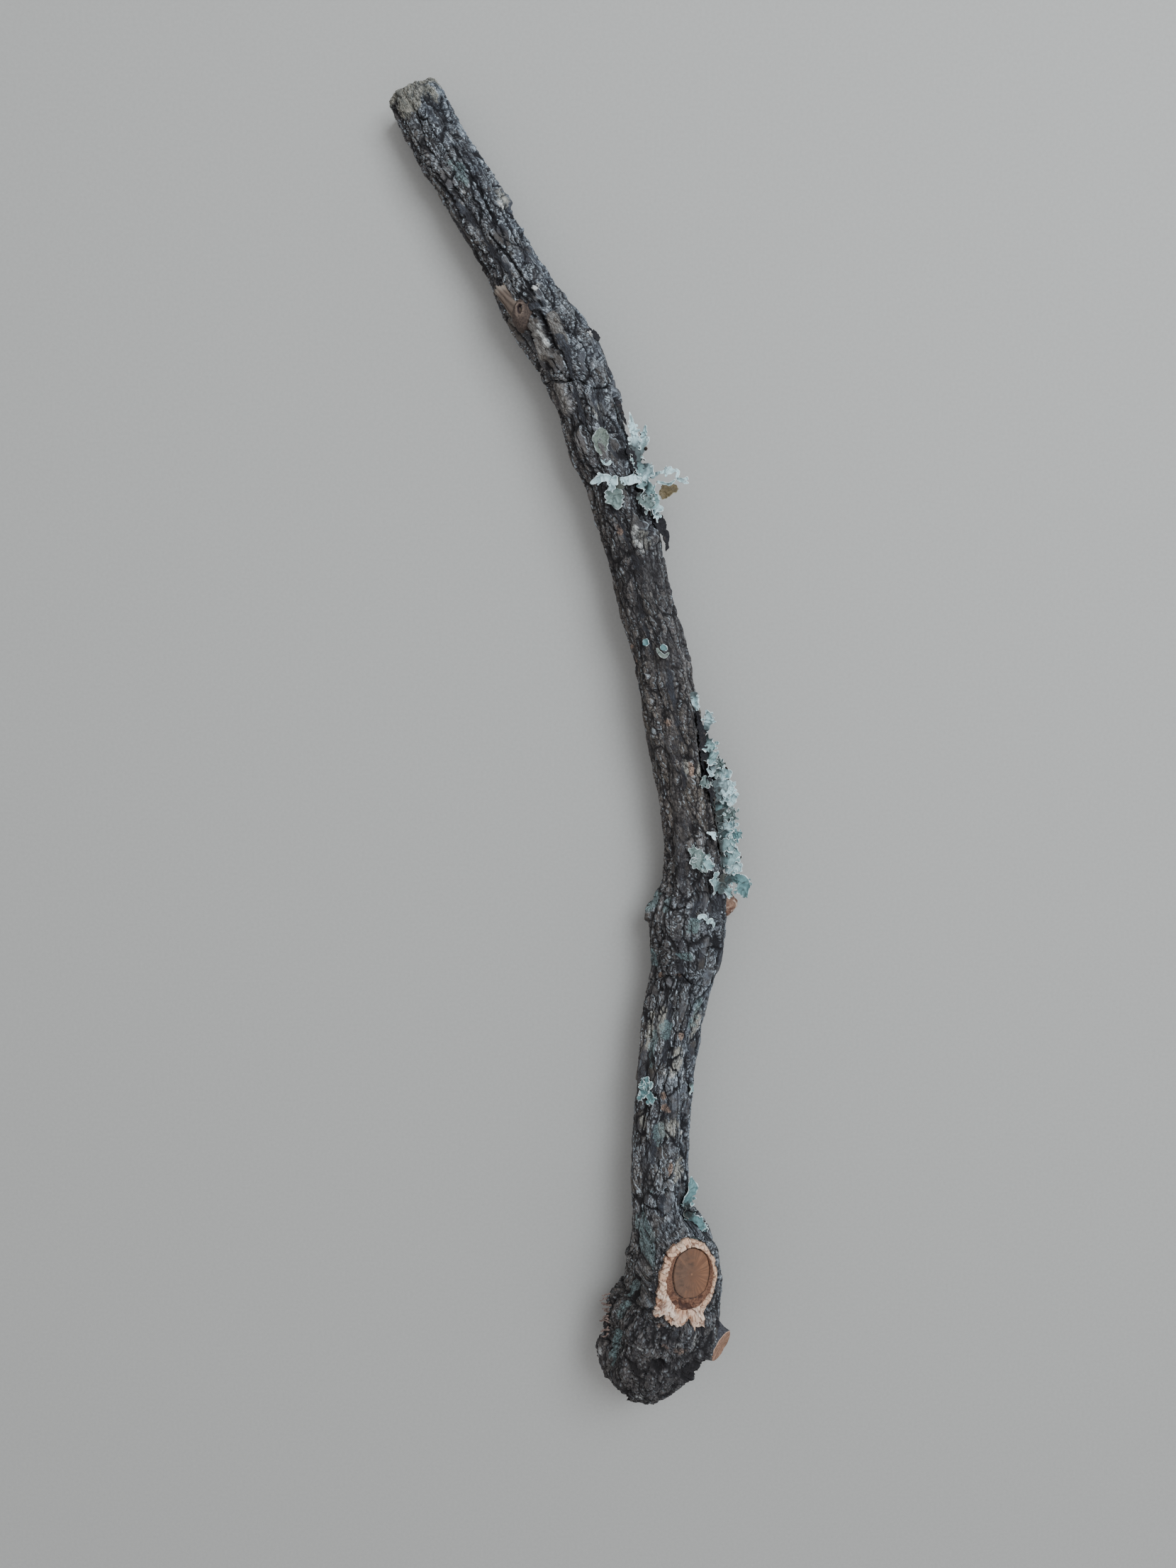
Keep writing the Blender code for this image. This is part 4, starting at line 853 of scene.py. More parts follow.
class Finish:
    """A material being mixed. Most calls add a node and return its output; lay() covers the skin so far."""

    def __init__(self, name, roughness=0.85):
        self.material = bpy.data.materials.new(name)
        self.material.use_nodes = True
        self.tree = self.material.node_tree
        self.shader = self.tree.nodes["Principled BSDF"]
        self.shader.inputs["Roughness"].default_value = roughness
        self.skin = None

    def node(self, kind, output, inputs, **settings):
        """Adds a node. Each input is a value or another node's output."""
        made = self.tree.nodes.new("ShaderNode" + kind)
        for name, value in settings.items():
            setattr(made, name, value)
        for key, value in inputs.items():
            if hasattr(value, "is_linked"):
                self.tree.links.new(value, made.inputs[key])
            else:
                made.inputs[key].default_value = value
        return made.outputs[output]

    def read(self, source):
        """A mask by its name, or a node's output as it is."""
        return self.node("Attribute", "Fac", {}, attribute_name=source) if isinstance(source, str) else source

    def place(self, stretch, unrolled):
        """Where a pattern is read, in mm: in the object, or along and round the branch."""
        if unrolled:
            where = self.node("Attribute", "Vector", {}, attribute_name="unrolled")
        else:
            where = self.node("TexCoord", "Object", {})
            stretch = [part / MM for part in stretch]
        return self.node("Mapping", 0, {"Vector": where, "Scale": stretch})

    def grain(self, size, detail=4.0, stretch=(1, 1, 1), rough=0.6, unrolled=False):
        """Noise with features of this many mm, squeezed along an axis by the stretch."""
        where = self.place(stretch, unrolled)
        return self.node("TexNoise", "Fac", {
            "Vector": where, "Scale": 1 / size, "Detail": detail, "Roughness": rough})

    def chips(self, size, stretch, waver):
        """Little plates along the bark: how near the crack is, and a number of its own for each."""
        where = self.place(stretch, True)
        bend = self.node("TexNoise", "Color", {"Vector": where, "Scale": 0.8 / size})
        pushed = {0: bend, 1: (waver * size,) * 3, 2: where}
        bent = self.node("VectorMath", 0, pushed, operation="MULTIPLY_ADD")
        return [
            self.node("TexVoronoi", output, {"Vector": bent, "Scale": 1 / size}, feature=feature)
            for feature, output in (("DISTANCE_TO_EDGE", "Distance"), ("F1", "Color"))
        ]

    def between(self, source, low, high, to_low=0.0, to_high=1.0):
        """A source stretched so that low becomes to_low and high becomes to_high."""
        ends = {"From Min": low, "From Max": high, "To Min": to_low, "To Max": to_high}
        return self.node("MapRange", "Result", {"Value": self.read(source), **ends})

    def maths(self, kind, one, two):
        return self.node("Math", 0, {0: self.read(one), 1: self.read(two)}, operation=kind)

    def times(self, product, *parts):
        for part in parts:
            product = self.maths("MULTIPLY", product, part)
        return product

    def mix(self, share, one, two):
        """Two colours mixed. One given as three numbers is a colour as a screen shows it, 0 to 255."""
        one, two = (light_of(value) if isinstance(value, tuple) else value for value in (one, two))
        return self.node("Mix", 2, {0: self.read(share), 6: one, 7: two}, data_type="RGBA")

    def tones(self, source, low, high, dark, light):
        return self.mix(self.between(source, low, high), dark, light)

    def lay(self, colour, source, low=0.0, high=1.0, weak=0.0, strong=1.0):
        """Lays a colour over the skin, weakly where the source is low and strongly where it is high."""
        self.skin = self.mix(self.between(source, low, high, weak, strong), self.skin, colour)

    def done(self, relief=None, depth=0.0, strength=1.0):
        """Gives the shader its colour, and a relief finer than the mesh, this many mm deep."""
        self.tree.links.new(self.skin, self.shader.inputs["Base Color"])
        if relief is not None:
            normal = self.node("Bump", 0, {"Height": relief, "Distance": depth * MM, "Strength": strength})
            self.tree.links.new(normal, self.shader.inputs["Normal"])
        print("finish:", self.material.name, len(self.tree.nodes), "nodes")
        return self.material


# %% [markdown]
# ## The finish of the bark
#
# Old bark is many colours at once. Its plates are grey-brown or blue-grey, each a little different, with
# small light chips and pale rims. Part of that is painted light: the side of the branch that faces the lamp
# is painted bluer and lighter, and there the rims and chalky flakes, worn pale, are painted brighter as a
# painted highlight.
# The cracks between are painted nearly black, partly as painted shade, and the low ground is painted darker
# as painted shade. Where the skin is stretched smooth it is slate; algae tint it green, and chipped spots
# show rusty cork. The masks from the relief decide where each colour goes, and fine noise breaks every
# border, so no edge looks drawn.

# %% Mix the bark
def bark_finish():
    mixed = Finish("weathered_bark", 0.88)
    fine = mixed.grain(0.45, 5, rough=0.7)
    broad = mixed.grain(7.0, 3)
    threads = mixed.grain(0.55, 4, (1, 1, 0.25), 0.65, True)
    stripes = mixed.grain(3.2, 3, (1, 1, 0.2), 0.55, True)
    crack, own = mixed.chips(0.85, (1, 1, 0.5), 1.1)
    blue_and_lit_side = mixed.read("blue_and_lit_side")
    broken = mixed.between("whole", 0, 1, 1.0, 0.25)

    # The plates: brown or blue, with light chips, dark stripes and stains. The blue and the light chips'
    # colour are painted stronger on the side that faces the lamp, as painted light.
    brown = mixed.tones("own", 0.1, 0.95, (42, 36, 34), (116, 105, 96))
    blue = mixed.tones("own", 0.1, 0.95, (52, 60, 74), (134, 148, 164))
    mixed.skin = mixed.mix(mixed.between(blue_and_lit_side, 0, 1, 0, 0.95), brown, blue)
    light_chips = mixed.times(mixed.between(own, 0.35, 0.85, 0.0, 0.56), broken)
    mixed.lay(mixed.mix(blue_and_lit_side, (172, 160, 148), (168, 186, 204)), light_chips)
    mixed.lay((42, 43, 51), stripes, 0.46, 0.60, 0, 0.6)
    streaks = mixed.times(mixed.between(threads, 0.46, 0.6), mixed.between("streaky", 0, 1, 0.3, 0.95))
    mixed.lay((54, 52, 56), streaks)
    mixed.lay((84, 78, 76), fine, 0.5, 0.66, 0, 0.3)
    mixed.lay((98, 88, 72), broad, 0.42, 0.62, 0, 0.35)

    # Pale rims and chalky flakes, worn pale and painted brighter as a painted highlight on the side that
    # faces the lamp, and then the places that are listed.
    rim = mixed.times("rim", mixed.between(fine, 0.36, 0.56), mixed.between(blue_and_lit_side, 0, 0.6, 0.5, 1.0))
    mixed.lay((206, 222, 234), rim, 0.05, 0.5, 0, 0.95)
    chalk_and_highlight = mixed.times(
        mixed.between(own, 0.66, 0.78), mixed.between(fine, 0.52, 0.44),
        mixed.between(stripes, 0.52, 0.42, 0.1, 1.0), blue_and_lit_side, broken)
    mixed.lay((206, 222, 234), chalk_and_highlight, 0, 0.8, 0, 0.7)
    mixed.lay(mixed.tones(threads, 0.4, 0.6, (146, 144, 140), (100, 92, 84)), "raised", 0.4, 1.0, 0, 0.75)
    mixed.lay((194, 192, 180), mixed.times("pale", mixed.between(threads, 0.3, 0.5)), 0, 1, 0, 0.65)
    slate = mixed.tones(threads, 0.40, 0.62, (33, 36, 44), (70, 77, 88))
    slate = mixed.mix(mixed.between(fine, 0.58, 0.7, 0, 0.4), slate, (108, 114, 124))
    mixed.lay(slate, "band", 0.15, 0.9, 0, 0.88)
    mixed.lay(mixed.tones(fine, 0.4, 0.6, (122, 98, 86), (188, 160, 140)), "rust", 0, 1, 0, 0.85)
    # White flecks, with the painted highlight on the raised plate below the spur.
    mixed.lay((226, 228, 226), "white")
    buff = mixed.tones(threads, 0.4, 0.6, (186, 182, 168), (126, 128, 120))
    mixed.lay(buff, mixed.times("top", mixed.between(fine, 0.25, 0.42)), 0.1, 0.9, 0, 0.8)
    mixed.lay(mixed.tones(fine, 0.40, 0.66, (46, 44, 48), (86, 82, 82)), "foot", 0, 1, 0, 0.5)
    # Darker rows and dark spots. The spots in the gaps under the lichens are partly painted shadow.
    mixed.lay((34, 33, 38), "deep")
    green = mixed.tones(fine, 0.36, 0.64, (84, 106, 108), (140, 166, 168))
    mixed.lay(green, mixed.times("algae", mixed.between(fine, 0.30, 0.55, 0.15, 1.0)), 0.1, 0.9, 0, 0.75)

    # Painted shade goes on last: the low ground goes dark, and the cracks near-black, partly dark bark and
    # partly painted shade, so that nothing pale lies in them.
    high = mixed.maths(
        "MAXIMUM", mixed.between("level", 0.12, 0.55), mixed.between("algae", 0.2, 0.7, 0, 0.8))
    mixed.skin = mixed.mix(high, mixed.mix(blue_and_lit_side, (38, 33, 33), (30, 34, 45)), mixed.skin)
    patchy = mixed.between(mixed.grain(2.2, 3), 0.42, 0.56, 0.25, 0.85)
    mixed.lay((26, 25, 29), mixed.times(mixed.between(crack, 0.02, 0.10, 1, 0), patchy, broken))
    speck = mixed.between(mixed.grain(0.22, 2, rough=0.5), 0.25, 0.6, 0.7, 1.0)
    fissure = mixed.times("crack", speck, mixed.between("algae", 0.2, 0.8, 1.0, 0.5))
    mixed.lay(mixed.mix(blue_and_lit_side, (22, 19, 20), (15, 17, 25)), fissure, 0.12, 0.8)
    relief = mixed.maths("ADD", mixed.times(fine, 0.5), threads)
    relief = mixed.maths("ADD", relief, mixed.between(crack, 0.0, 0.25, 0, 0.9))
    return mixed.done(relief, 0.30, 0.9)


BARK = bark_finish()
for length in bark:
    length.data.materials.append(BARK)

# %% [markdown]
# ## Cut wood, stubs and the broken bud
#
# Each of these is a turned form on its own axis, like something from a lathe that was then broken by hand. A
# list of rings gives the profile: half width, half length, height and, where the form leans, how far the
# ring is shifted. The sheet is rolled round the axis through those rings, and clouds and cells roughen it. A
# closed ring, such as the chipped fringe round the scar, is the same with the last row brought back to the
# first.

# %% Turn a form on its axis
def turned(name, centre, out, rings, rows, sides, roughen, closed=False):
    """A form through rings on an axis. roughen(ring, angle, places) gives a swell, a rise and the masks."""
    rings = np.array([(*ring, 0.0, 0.0)[:5] for ring in rings])
    rows, sides = int(rows * DETAIL), int(sides * DETAIL)
    across, lengthwise, out = axes_of(out)
    steps = np.hypot(np.diff(rings[:, 0]), np.diff(rings[:, 2])) + 0.4
    reach = np.concatenate([[0], np.cumsum(steps)])

    def shape(row, angle):
        share = (row % rows if closed else row) / rows * reach[-1]
        ring = np.interp(share, reach, np.arange(len(rings)))
        wide, long, height, shift_x, shift_y = (np.interp(share, reach, rings[:, k]) for k in range(5))
        flat = np.stack([shift_x + wide * np.cos(angle), shift_y + long * np.sin(angle), height], axis=1)
        swell, rise, marks = roughen(ring, angle, flat)
        x = shift_x + (wide + swell) * np.cos(angle)
        y = shift_y + (long + swell) * np.sin(angle)
        pole = (wide < 0.001) & (not closed)
        x, y = np.where(pole, shift_x, x), np.where(pole, shift_y, y)
        height = height + np.where(pole, 0, rise)
        points = centre + across * x[:, None] + lengthwise * y[:, None] + out * height[:, None]
        points[:, 2] = np.maximum(points[:, 2], 0.0)
        marks["turn_x"], marks["turn_y"], marks["ring"] = np.cos(angle), np.sin(angle), ring
        return points, marks

    return rolled(name, rows, sides, shape)


def round_and_round(size, angle):
    """Places on a circle, so that a pattern read there has no seam."""
    return np.stack([size * np.cos(angle), size * np.sin(angle), 0 * angle], axis=1)


# %% [markdown]
# ## The round scar
#
# A side branch was sawn off here. Inside is brown heartwood with fine rays that run out from its pith, a
# dark ring where it has shrunk away from the wood round it, and a darker collar that is broken at its lower
# edge. Outside that is a fringe of pale fresh wood that was chipped off with the bark, thin at the right and
# chunky at the lower left. Wood and fringe are two meshes, because one is smooth with fine lines and the
# other is all facets.

# %% The cut wood
def wood_roughness(ring, angle, places):
    rays = clouds(round_and_round(7, angle) + places * [0, 0, 0.2], 1.0, 101)
    lumps = clouds(places, 2.6, 102)
    low_edge = step_up(-np.sin(angle + 0.15), 0.3, 0.95) * step_up(ring, 4.2, 5.5) * (ring < 8.2)
    broken = cells(places, [1.6, 1.6, 9.0], 104)[2]
    rise = 0.10 * lumps + 0.05 * clouds(places, 0.7, 103) + 0.05 * rays * step_up(ring, 0.5, 2)
    rise -= low_edge * (0.5 + 1.3 * broken) * 0.7
    swell = 0.28 * clouds(round_and_round(3, angle), 1.0, 105)
    return swell * (ring > 2.5), rise, {"broken": low_edge * step_up(broken, 0.3, 0.7)}


scar_wood = turned("scar_heartwood", SCAR, SCAR_OUT, [
    (0.0, 0.0, -0.1), (3.2, 4.4, -0.15), (7.0, 9.5, -0.25), (7.4, 10.0, -0.4), (7.6, 10.3, -1.0, 0.0, -0.1),
    (7.9, 10.8, -0.5, -0.1, -0.3), (8.8, 12.3, -0.2, -0.5, -1.5), (9.5, 13.4, 0.1, -0.7, -1.9),
    (10.0, 14.0, -1.2, -0.8, -2.1), (9.6, 13.6, -5.0, -0.8, -2.1), (0.0, 0.0, -5.0, -0.8, -2.1),
], 110, 190, wood_roughness)

# %% The chipped fringe
# How wide the fringe is in mm, by the angle round the scar from its right side.
FRINGE_WIDTH = [
    (0, 1.4), (40, 1.5), (70, 2.2), (95, 2.5), (125, 2.6), (150, 2.0), (185, 2.2), (205, 4.8), (222, 6.6),
    (240, 6.2), (258, 5.4), (272, 3.8), (281, 8.6), (290, 8.8), (297, 4.0), (312, 2.4), (335, 1.6),
    (360, 1.5),
]
FRINGE_SHIFT = (-0.7, -1.9)


def fringe_roughness(ring, angle, places):
    wide = between(FRINGE_WIDTH, np.degrees(angle) % 360)
    outward = np.interp(ring, range(9), [0, 0, 0.15, 0.6, 0.95, 1.1, 0.9, 0.1, 0])
    places = places + round_and_round(1, angle) * (outward * wide)[:, None]
    chips = cells(places + 0.5 * clouds(places, 2.0, 110)[:, None], [2.1, 2.1, 8.0], 111)
    small = cells(places, [0.9, 0.9, 5.0], 121)
    tilt = (chips[3] * [0.9, -0.7, 0] * (2 * chips[2] - 1)[:, None]).sum(axis=1)
    top = step_up(ring, 0.8, 1.6) * (1 - step_up(ring, 3.6, 4.4)) * np.clip(wide / 4, 0.35, 1)
    rise = 1.5 * (chips[2] - 0.5) + 1.3 * tilt + 0.5 * (small[2] - 0.5)
    rise -= 0.7 * (1 - step_up(chips[1], 0, 0.16))
    ragged = 0.75 + 0.5 * cells(round_and_round(12, angle), 1.7, 131)[2] + 0.12 * clouds(places, 0.9, 132)
    swell = outward * wide * ragged + 0.15 * clouds(places, 0.8, 133)
    seam = 1 - step_up(chips[1], 0.02, 0.14)
    return swell, top * rise, {"chip": chips[2], "seam": seam, "thin": np.clip(1.4 - wide / 3, 0, 1)}


scar_fringe = turned("scar_chipped_fringe", SCAR, SCAR_OUT, [(*ring, *FRINGE_SHIFT) for ring in (
    (9.4, 13.0, -4.0), (9.2, 12.9, -0.2), (9.3, 13.0, 0.7), (9.4, 13.1, 0.6), (9.5, 13.2, -0.4),
    (9.5, 13.2, -3.2), (9.5, 13.2, -6.0), (9.4, 13.1, -6.0), (9.4, 13.0, -4.0),
)], 64, 300, fringe_roughness, closed=True)


# %% [markdown]
# ## Stub, bud and spur
#
# The stub still wears smooth dark bark on its side and shows cut wood on its end, drawn out to a point
# below. The bud is a broken brown knob. The spur has lost its bark: brown weathered wood with ridges along
# it, torn at the tip, and at its root a little hollow with a pale rim, where a bud fell out.

# %% Roughness of each and the pieces themselves
def stub_roughness(ring, angle, places):
    face = step_up(ring, 3.0, 3.4)
    drawn_out = np.clip(-np.sin(angle), 0, 1) ** 7
    swell = 0.35 * clouds(places, 3.0, 141) + 1.6 * drawn_out * step_up(ring, 1.8, 3) * (ring < 4.5)
    swell += 0.12 * np.sin(9 * angle) * (1 - face)
    rise = 0.10 * clouds(places, 0.8, 142) + 0.22 * face * clouds(places, 2.2, 143)
    return swell, rise, {"face": face, "edge": np.exp(-(((ring - 3.35) / 0.22) ** 2))}


def bud_roughness(ring, angle, places):
    torn = cells(places, 1.5, 151)[2]
    swell = 0.5 * clouds(places, 2.2, 152) + 0.35 * (torn - 0.5) + 0.1 * clouds(places, 0.5, 153)
    return swell, 0.6 * step_up(ring, 2.6, 3.4) * (torn - 0.5), {"chip": torn}


def spur_roughness(ring, angle, places):
    ridges = np.abs(np.sin(4.5 * angle + 0.12 * places[:, 2] + 0.6 * clouds(places, 4.0, 161)))
    swell = 0.20 * (ridges - 0.5) + 0.25 * clouds(places, 2.0, 162)
    tear = cells(round_and_round(3, angle), 1.3, 163)[2]
    rise = 2.0 * step_up(ring, 2.2, 3.2) * (tear - 0.6)
    return swell, rise, {"ridge": ridges, "torn": step_up(ring, 3.2, 3.9)}


def hollow_roughness(ring, angle, places):
    swell = 0.25 * clouds(places, 1.6, 171) + 0.12 * clouds(places, 0.6, 172)
    marks = {"rim": np.exp(-(((ring - 4.1) / 0.5) ** 2)), "pit": step_up(ring, 4.6, 5.6)}
    return swell, 0.2 * clouds(places, 1.2, 173), marks


stub = turned("cut_side_stub", STUB, STUB_OUT, [
    (0.0, 0.0, -19.0), (6.9, 7.0, -15.0), (6.5, 6.5, -7.0), (6.0, 6.1, -0.4), (5.5, 5.6, 0.1),
    (3.0, 3.0, -0.2), (0.0, 0.0, -0.2),
], 80, 110, stub_roughness)
bud = turned("broken_bud", BUD, BUD_OUT, [
    (0.0, 0.0, -9.0), (3.8, 4.0, -8.0), (4.5, 4.8, -4.0), (3.9, 4.2, -0.2), (2.6, 2.9, 0.6), (1.4, 1.5, -0.9),
    (0.0, 0.0, -1.1),
], 60, 80, bud_roughness)
spur = turned("peeled_spur", SPUR_TIP, SPUR_OUT, [
    (0.0, 0.0, -17.0), (4.2, 4.6, -15.0), (3.2, 3.6, -9.0), (2.3, 2.6, -4.0), (2.2, 2.3, 0.0),
    (1.4, 1.5, -0.8), (0.0, 0.0, -1.2),
], 80, 72, spur_roughness)
hollow = turned("spur_hollow", HOLLOW, HOLLOW_OUT, [
    (0.0, 0.0, -6.0, 0, -1.0), (5.0, 6.0, -4.0, 0, -1.0), (3.9, 5.2, -0.8, 0, -0.8), (2.4, 3.3, 0.5, 0, -0.3),
    (1.5, 2.0, 0.9, 0, 0.2), (1.0, 1.5, 0.6, 0, 0.3), (0.7, 1.0, -0.7, 0, 0.3), (0.0, 0.0, -0.9, 0, 0.3),
], 56, 80, hollow_roughness)


# %% [markdown]
# ## The finish of the wood
#
# Cut wood is drawn by its rays and rings, so its pattern has to follow the turned form. The form's own masks
# give that: the direction round the axis and the number of the ring. Noise read at a place made of those two
# is stretched into rays from the pith, with no seam. The broken pieces are simpler: two tones, and a few
# layers over them.

# %% Two tones with layers
def two_tone(name, roughness, grain, tones, layers, bumps):
    """Two tones with layers over them. Each is placed by a mask's name, by a grain's size and detail, by
    "grain" for the finish's own grain, which also makes its relief, or by a function of both."""
    mixed = Finish(name, roughness)
    own_grain = mixed.grain(*grain)

    def source(which):
        if which == "grain":
            return own_grain
        if callable(which):
            return which(mixed, own_grain)
        return mixed.grain(*which) if isinstance(which, tuple) else which

    mixed.skin = mixed.tones(source(tones[0]), *tones[1:])
    for colour, which, *reach in layers:
        mixed.lay(colour, source(which), *reach)
    return mixed.done(own_grain, *bumps)


# %% Wood with rays
def rays_of(mixed, around, outward):
    """Noise that runs out from the axis in rays."""
    place = mixed.node("CombineXYZ", 0, {
        0: mixed.times("turn_x", around), 1: mixed.times("turn_y", around), 2: mixed.times("ring", outward)})
    return mixed.node("TexNoise", "Fac", {"Vector": place, "Scale": 1.0, "Detail": 3.0})


def heartwood_finish():
    mixed = Finish("cut_heartwood", 0.75)
    rays = rays_of(mixed, 9.0, 0.25)
    fine = mixed.grain(0.6, 4)
    uneven = mixed.maths("ADD", "turn_x", mixed.between(mixed.grain(4.0, 3), 0.3, 0.7, -0.9, 0.9))
    right = mixed.between(mixed.times(uneven, mixed.between("ring", 0, 1.2)), -0.9, 0.9)
    mixed.skin = mixed.mix(right, (102, 78, 64), (114, 80, 60))
    fan = mixed.times(
        mixed.between(rays, 0.46, 0.7), mixed.between(right, 0, 1, 0.2, 0.7), mixed.between("ring", 0.4, 1.6))
    mixed.lay((156, 112, 84), fan)
    spots = mixed.between(mixed.grain(2.2, 4), 0.50, 0.64, 0, 0.7)
    mixed.lay((78, 60, 50), mixed.times(spots, mixed.between(right, 0.2, 0.8, 1.0, 0.15)))
    mixed.lay((176, 130, 100), "ring", 0.15, 0.0, 0, 0.7)
    mixed.lay(mixed.tones(fine, 0.4, 0.6, (92, 60, 46), (128, 92, 72)), "ring", 4.6, 5.2)
    from_gap = mixed.maths("ABSOLUTE", mixed.maths("SUBTRACT", "ring", 3.9), 0.0)
    gap = mixed.maths("SUBTRACT", 1.0, mixed.between(from_gap, 0.25, 0.9))
    mixed.lay((40, 26, 24), mixed.times(gap, mixed.between(mixed.grain(0.9, 2), 0.38, 0.5)))
    mixed.lay((56, 32, 26), "broken", 0, 1, 0, 0.9)
    mixed.lay((226, 190, 164), "ring", 7.2, 8.0)
    return mixed.done(mixed.maths("ADD", rays, mixed.times(fine, 0.6)), 0.15, 0.7)


def stub_finish():
    mixed = Finish("stub_bark_and_wood", 0.85)
    fine = mixed.grain(0.6, 4)
    bark_side = mixed.tones(fine, 0.36, 0.64, (44, 44, 50), (90, 92, 100))
    wood = mixed.tones(rays_of(mixed, 6.0, 0.5), 0.42, 0.6, (118, 88, 70), (156, 122, 100))
    wood = mixed.mix(mixed.between(mixed.grain(1.6, 3), 0.5, 0.64, 0, 0.6), wood, (172, 130, 116))
    mixed.skin = mixed.mix("face", bark_side, wood)
    mixed.lay((206, 178, 156), "edge", 0.3, 1.0)
    return mixed.done(fine, 0.2, 0.7)


# %% Mix the woods and put them on
woods = {
    scar_wood: heartwood_finish(),
    scar_fringe: two_tone(
        "fresh_chipped_wood", 0.8, (0.5, 4, (1, 0.35, 1)), ("chip", 0, 1, (208, 164, 134), (255, 240, 224)), [
            ((236, 196, 160), "thin", 0, 1, 0, 0.6), ((190, 140, 112), "grain", 0.38, 0.64, 0, 0.6),
            ((104, 66, 52), "seam", 0.1, 1.0, 0, 0.85), ((66, 56, 54), "ring", 4.1, 5.0),
        ], (0.25, 0.8)),
    stub: stub_finish(),
    bud: two_tone(
        "broken_bud_wood", 0.85, (0.8, 5), ("grain", 0.36, 0.64, (96, 70, 58), (152, 122, 104)), [
            ((198, 180, 166), "chip", 0.6, 1.0, 0, 0.6), ((84, 52, 42), (2.4, 3), 0.5, 0.62, 0, 0.8),
        ], (0.25, 0.8)),
    spur: two_tone(
        "weathered_spur_wood", 0.85, (0.5, 4), ("ridge", 0.2, 0.9, (66, 56, 50), (108, 95, 86)), [
            ((90, 76, 66), "grain", 0.4, 0.64, 0, 0.6), ((146, 138, 128), "torn", 0.2, 0.9, 0, 0.5),
        ], (0.15, 0.7)),
    hollow: two_tone(
        "spur_root_wood", 0.88, (0.6, 4), ("grain", 0.36, 0.64, (50, 41, 38), (84, 71, 64)), [
            ((122, 106, 96), lambda mixed, grain: mixed.times("rim", mixed.between(grain, 0.3, 0.5))),
            ((46, 32, 36), "pit"),
        ], (0.2, 0.7)),
}
for piece, material in woods.items():
    piece.data.materials.append(material)
woody = list(woods)

# %% [markdown]
# ## Lichen leaves
#
# A leafy lichen is a papery skin a fifth of a millimetre thick. It grows outward from a few holdfasts, so
# its edge is always longer than the space it has, and it ruffles, curls up and splits into rounded lobes.
# Each leaf is a flat sheet bent along a route on the branch: its half width comes from a short list, its
# outline is scalloped by noise, its margin rises in waves, and it is pushed clear of the bark wherever it
# would sink into it. A Solidify modifier gives the skin its thickness, with the dark underside as a finish
# of its own.

# %% Kinds of leaf
# Teal, grey, white and shade from 0 to 1, ruffle height and wave length in mm, and the depth of the scallops.
KINDS = {
    "mint": (0.45, 0.10, 0.20, 0.0, 0.95, 3.2, 0.42),
    "pale": (0.25, 0.05, 0.60, 0.0, 0.95, 3.0, 0.42),
    "teal": (1.00, 0.00, 0.05, 0.0, 0.45, 4.2, 0.30),
    "grey": (0.15, 0.90, 0.00, 0.1, 0.40, 4.5, 0.14),
    "dull": (0.25, 0.60, 0.10, 0.3, 0.90, 2.6, 0.42),
    # Brown leaves lie under others, partly brown lichen and partly painted shade. Black sheets are painted
    # shadow, or dark flakes.
    "brown": (0.05, 1.00, 0.00, 0.7, 0.60, 2.6, 0.42),
    "white": (0.10, 0.00, 0.85, 0.0, 0.50, 4.5, 0.14),
    "ash": (0.20, 0.65, 0.05, 0.0, 0.80, 2.6, 0.30),
    "hook": (1.00, 0.00, 0.05, 0.0, 0.35, 6.0, 0.08),
    "black": (0.00, 0.00, 0.00, 1.0, 0.30, 3.0, 0.35),
}
# A leaf may lie on the bark, or face the viewer or the right side, which is turned half to the viewer.
VIEWER = (0, 0, 1)
EDGE = (0.75, 0, 0.65)
LEAF_STEP = 0.30 / DETAIL
LEAF_THICKNESS = 0.22
BARK_ROOM = 0.55
print(len(KINDS), "kinds of leaf, with a point every", LEAF_STEP, "mm")


# %% Helpers for a leaf
def rounded_ends(a):
    """How much of its width a leaf has along it: round at the root and rounder at the tip."""
    tip = np.clip((a - 0.74) / 0.27, 0, 1)
    root = np.clip((0.16 - a) / 0.17, 0, 1)
    return np.sqrt(1 - tip**2) * np.sqrt(1 - root**2)


print("share of its width a leaf has at five places along it:", rounded_ends(np.linspace(0, 1, 5)).round(2))


def clear_of_bark(points, room):
    """Moves points out from the middle line until they stand this far off the bark."""
    s = nearest(points)
    line, radius, flat, along, side, up = middle(s)
    place = points - line
    x = (place * side).sum(axis=1)
    y = (place * up).sum(axis=1) / flat
    reach = np.hypot(x, y)
    need = radius + wood_relief(s, np.arctan2(x, y)) + room
    grow = np.where(reach < need, need / np.maximum(reach, 0.01), 1.0)
    lean = (place * along).sum(axis=1)
    fixed = line + side * (x * grow)[:, None] + up * (y * grow * flat)[:, None] + along * lean[:, None]
    return np.where((grow > 1)[:, None], fixed, points)


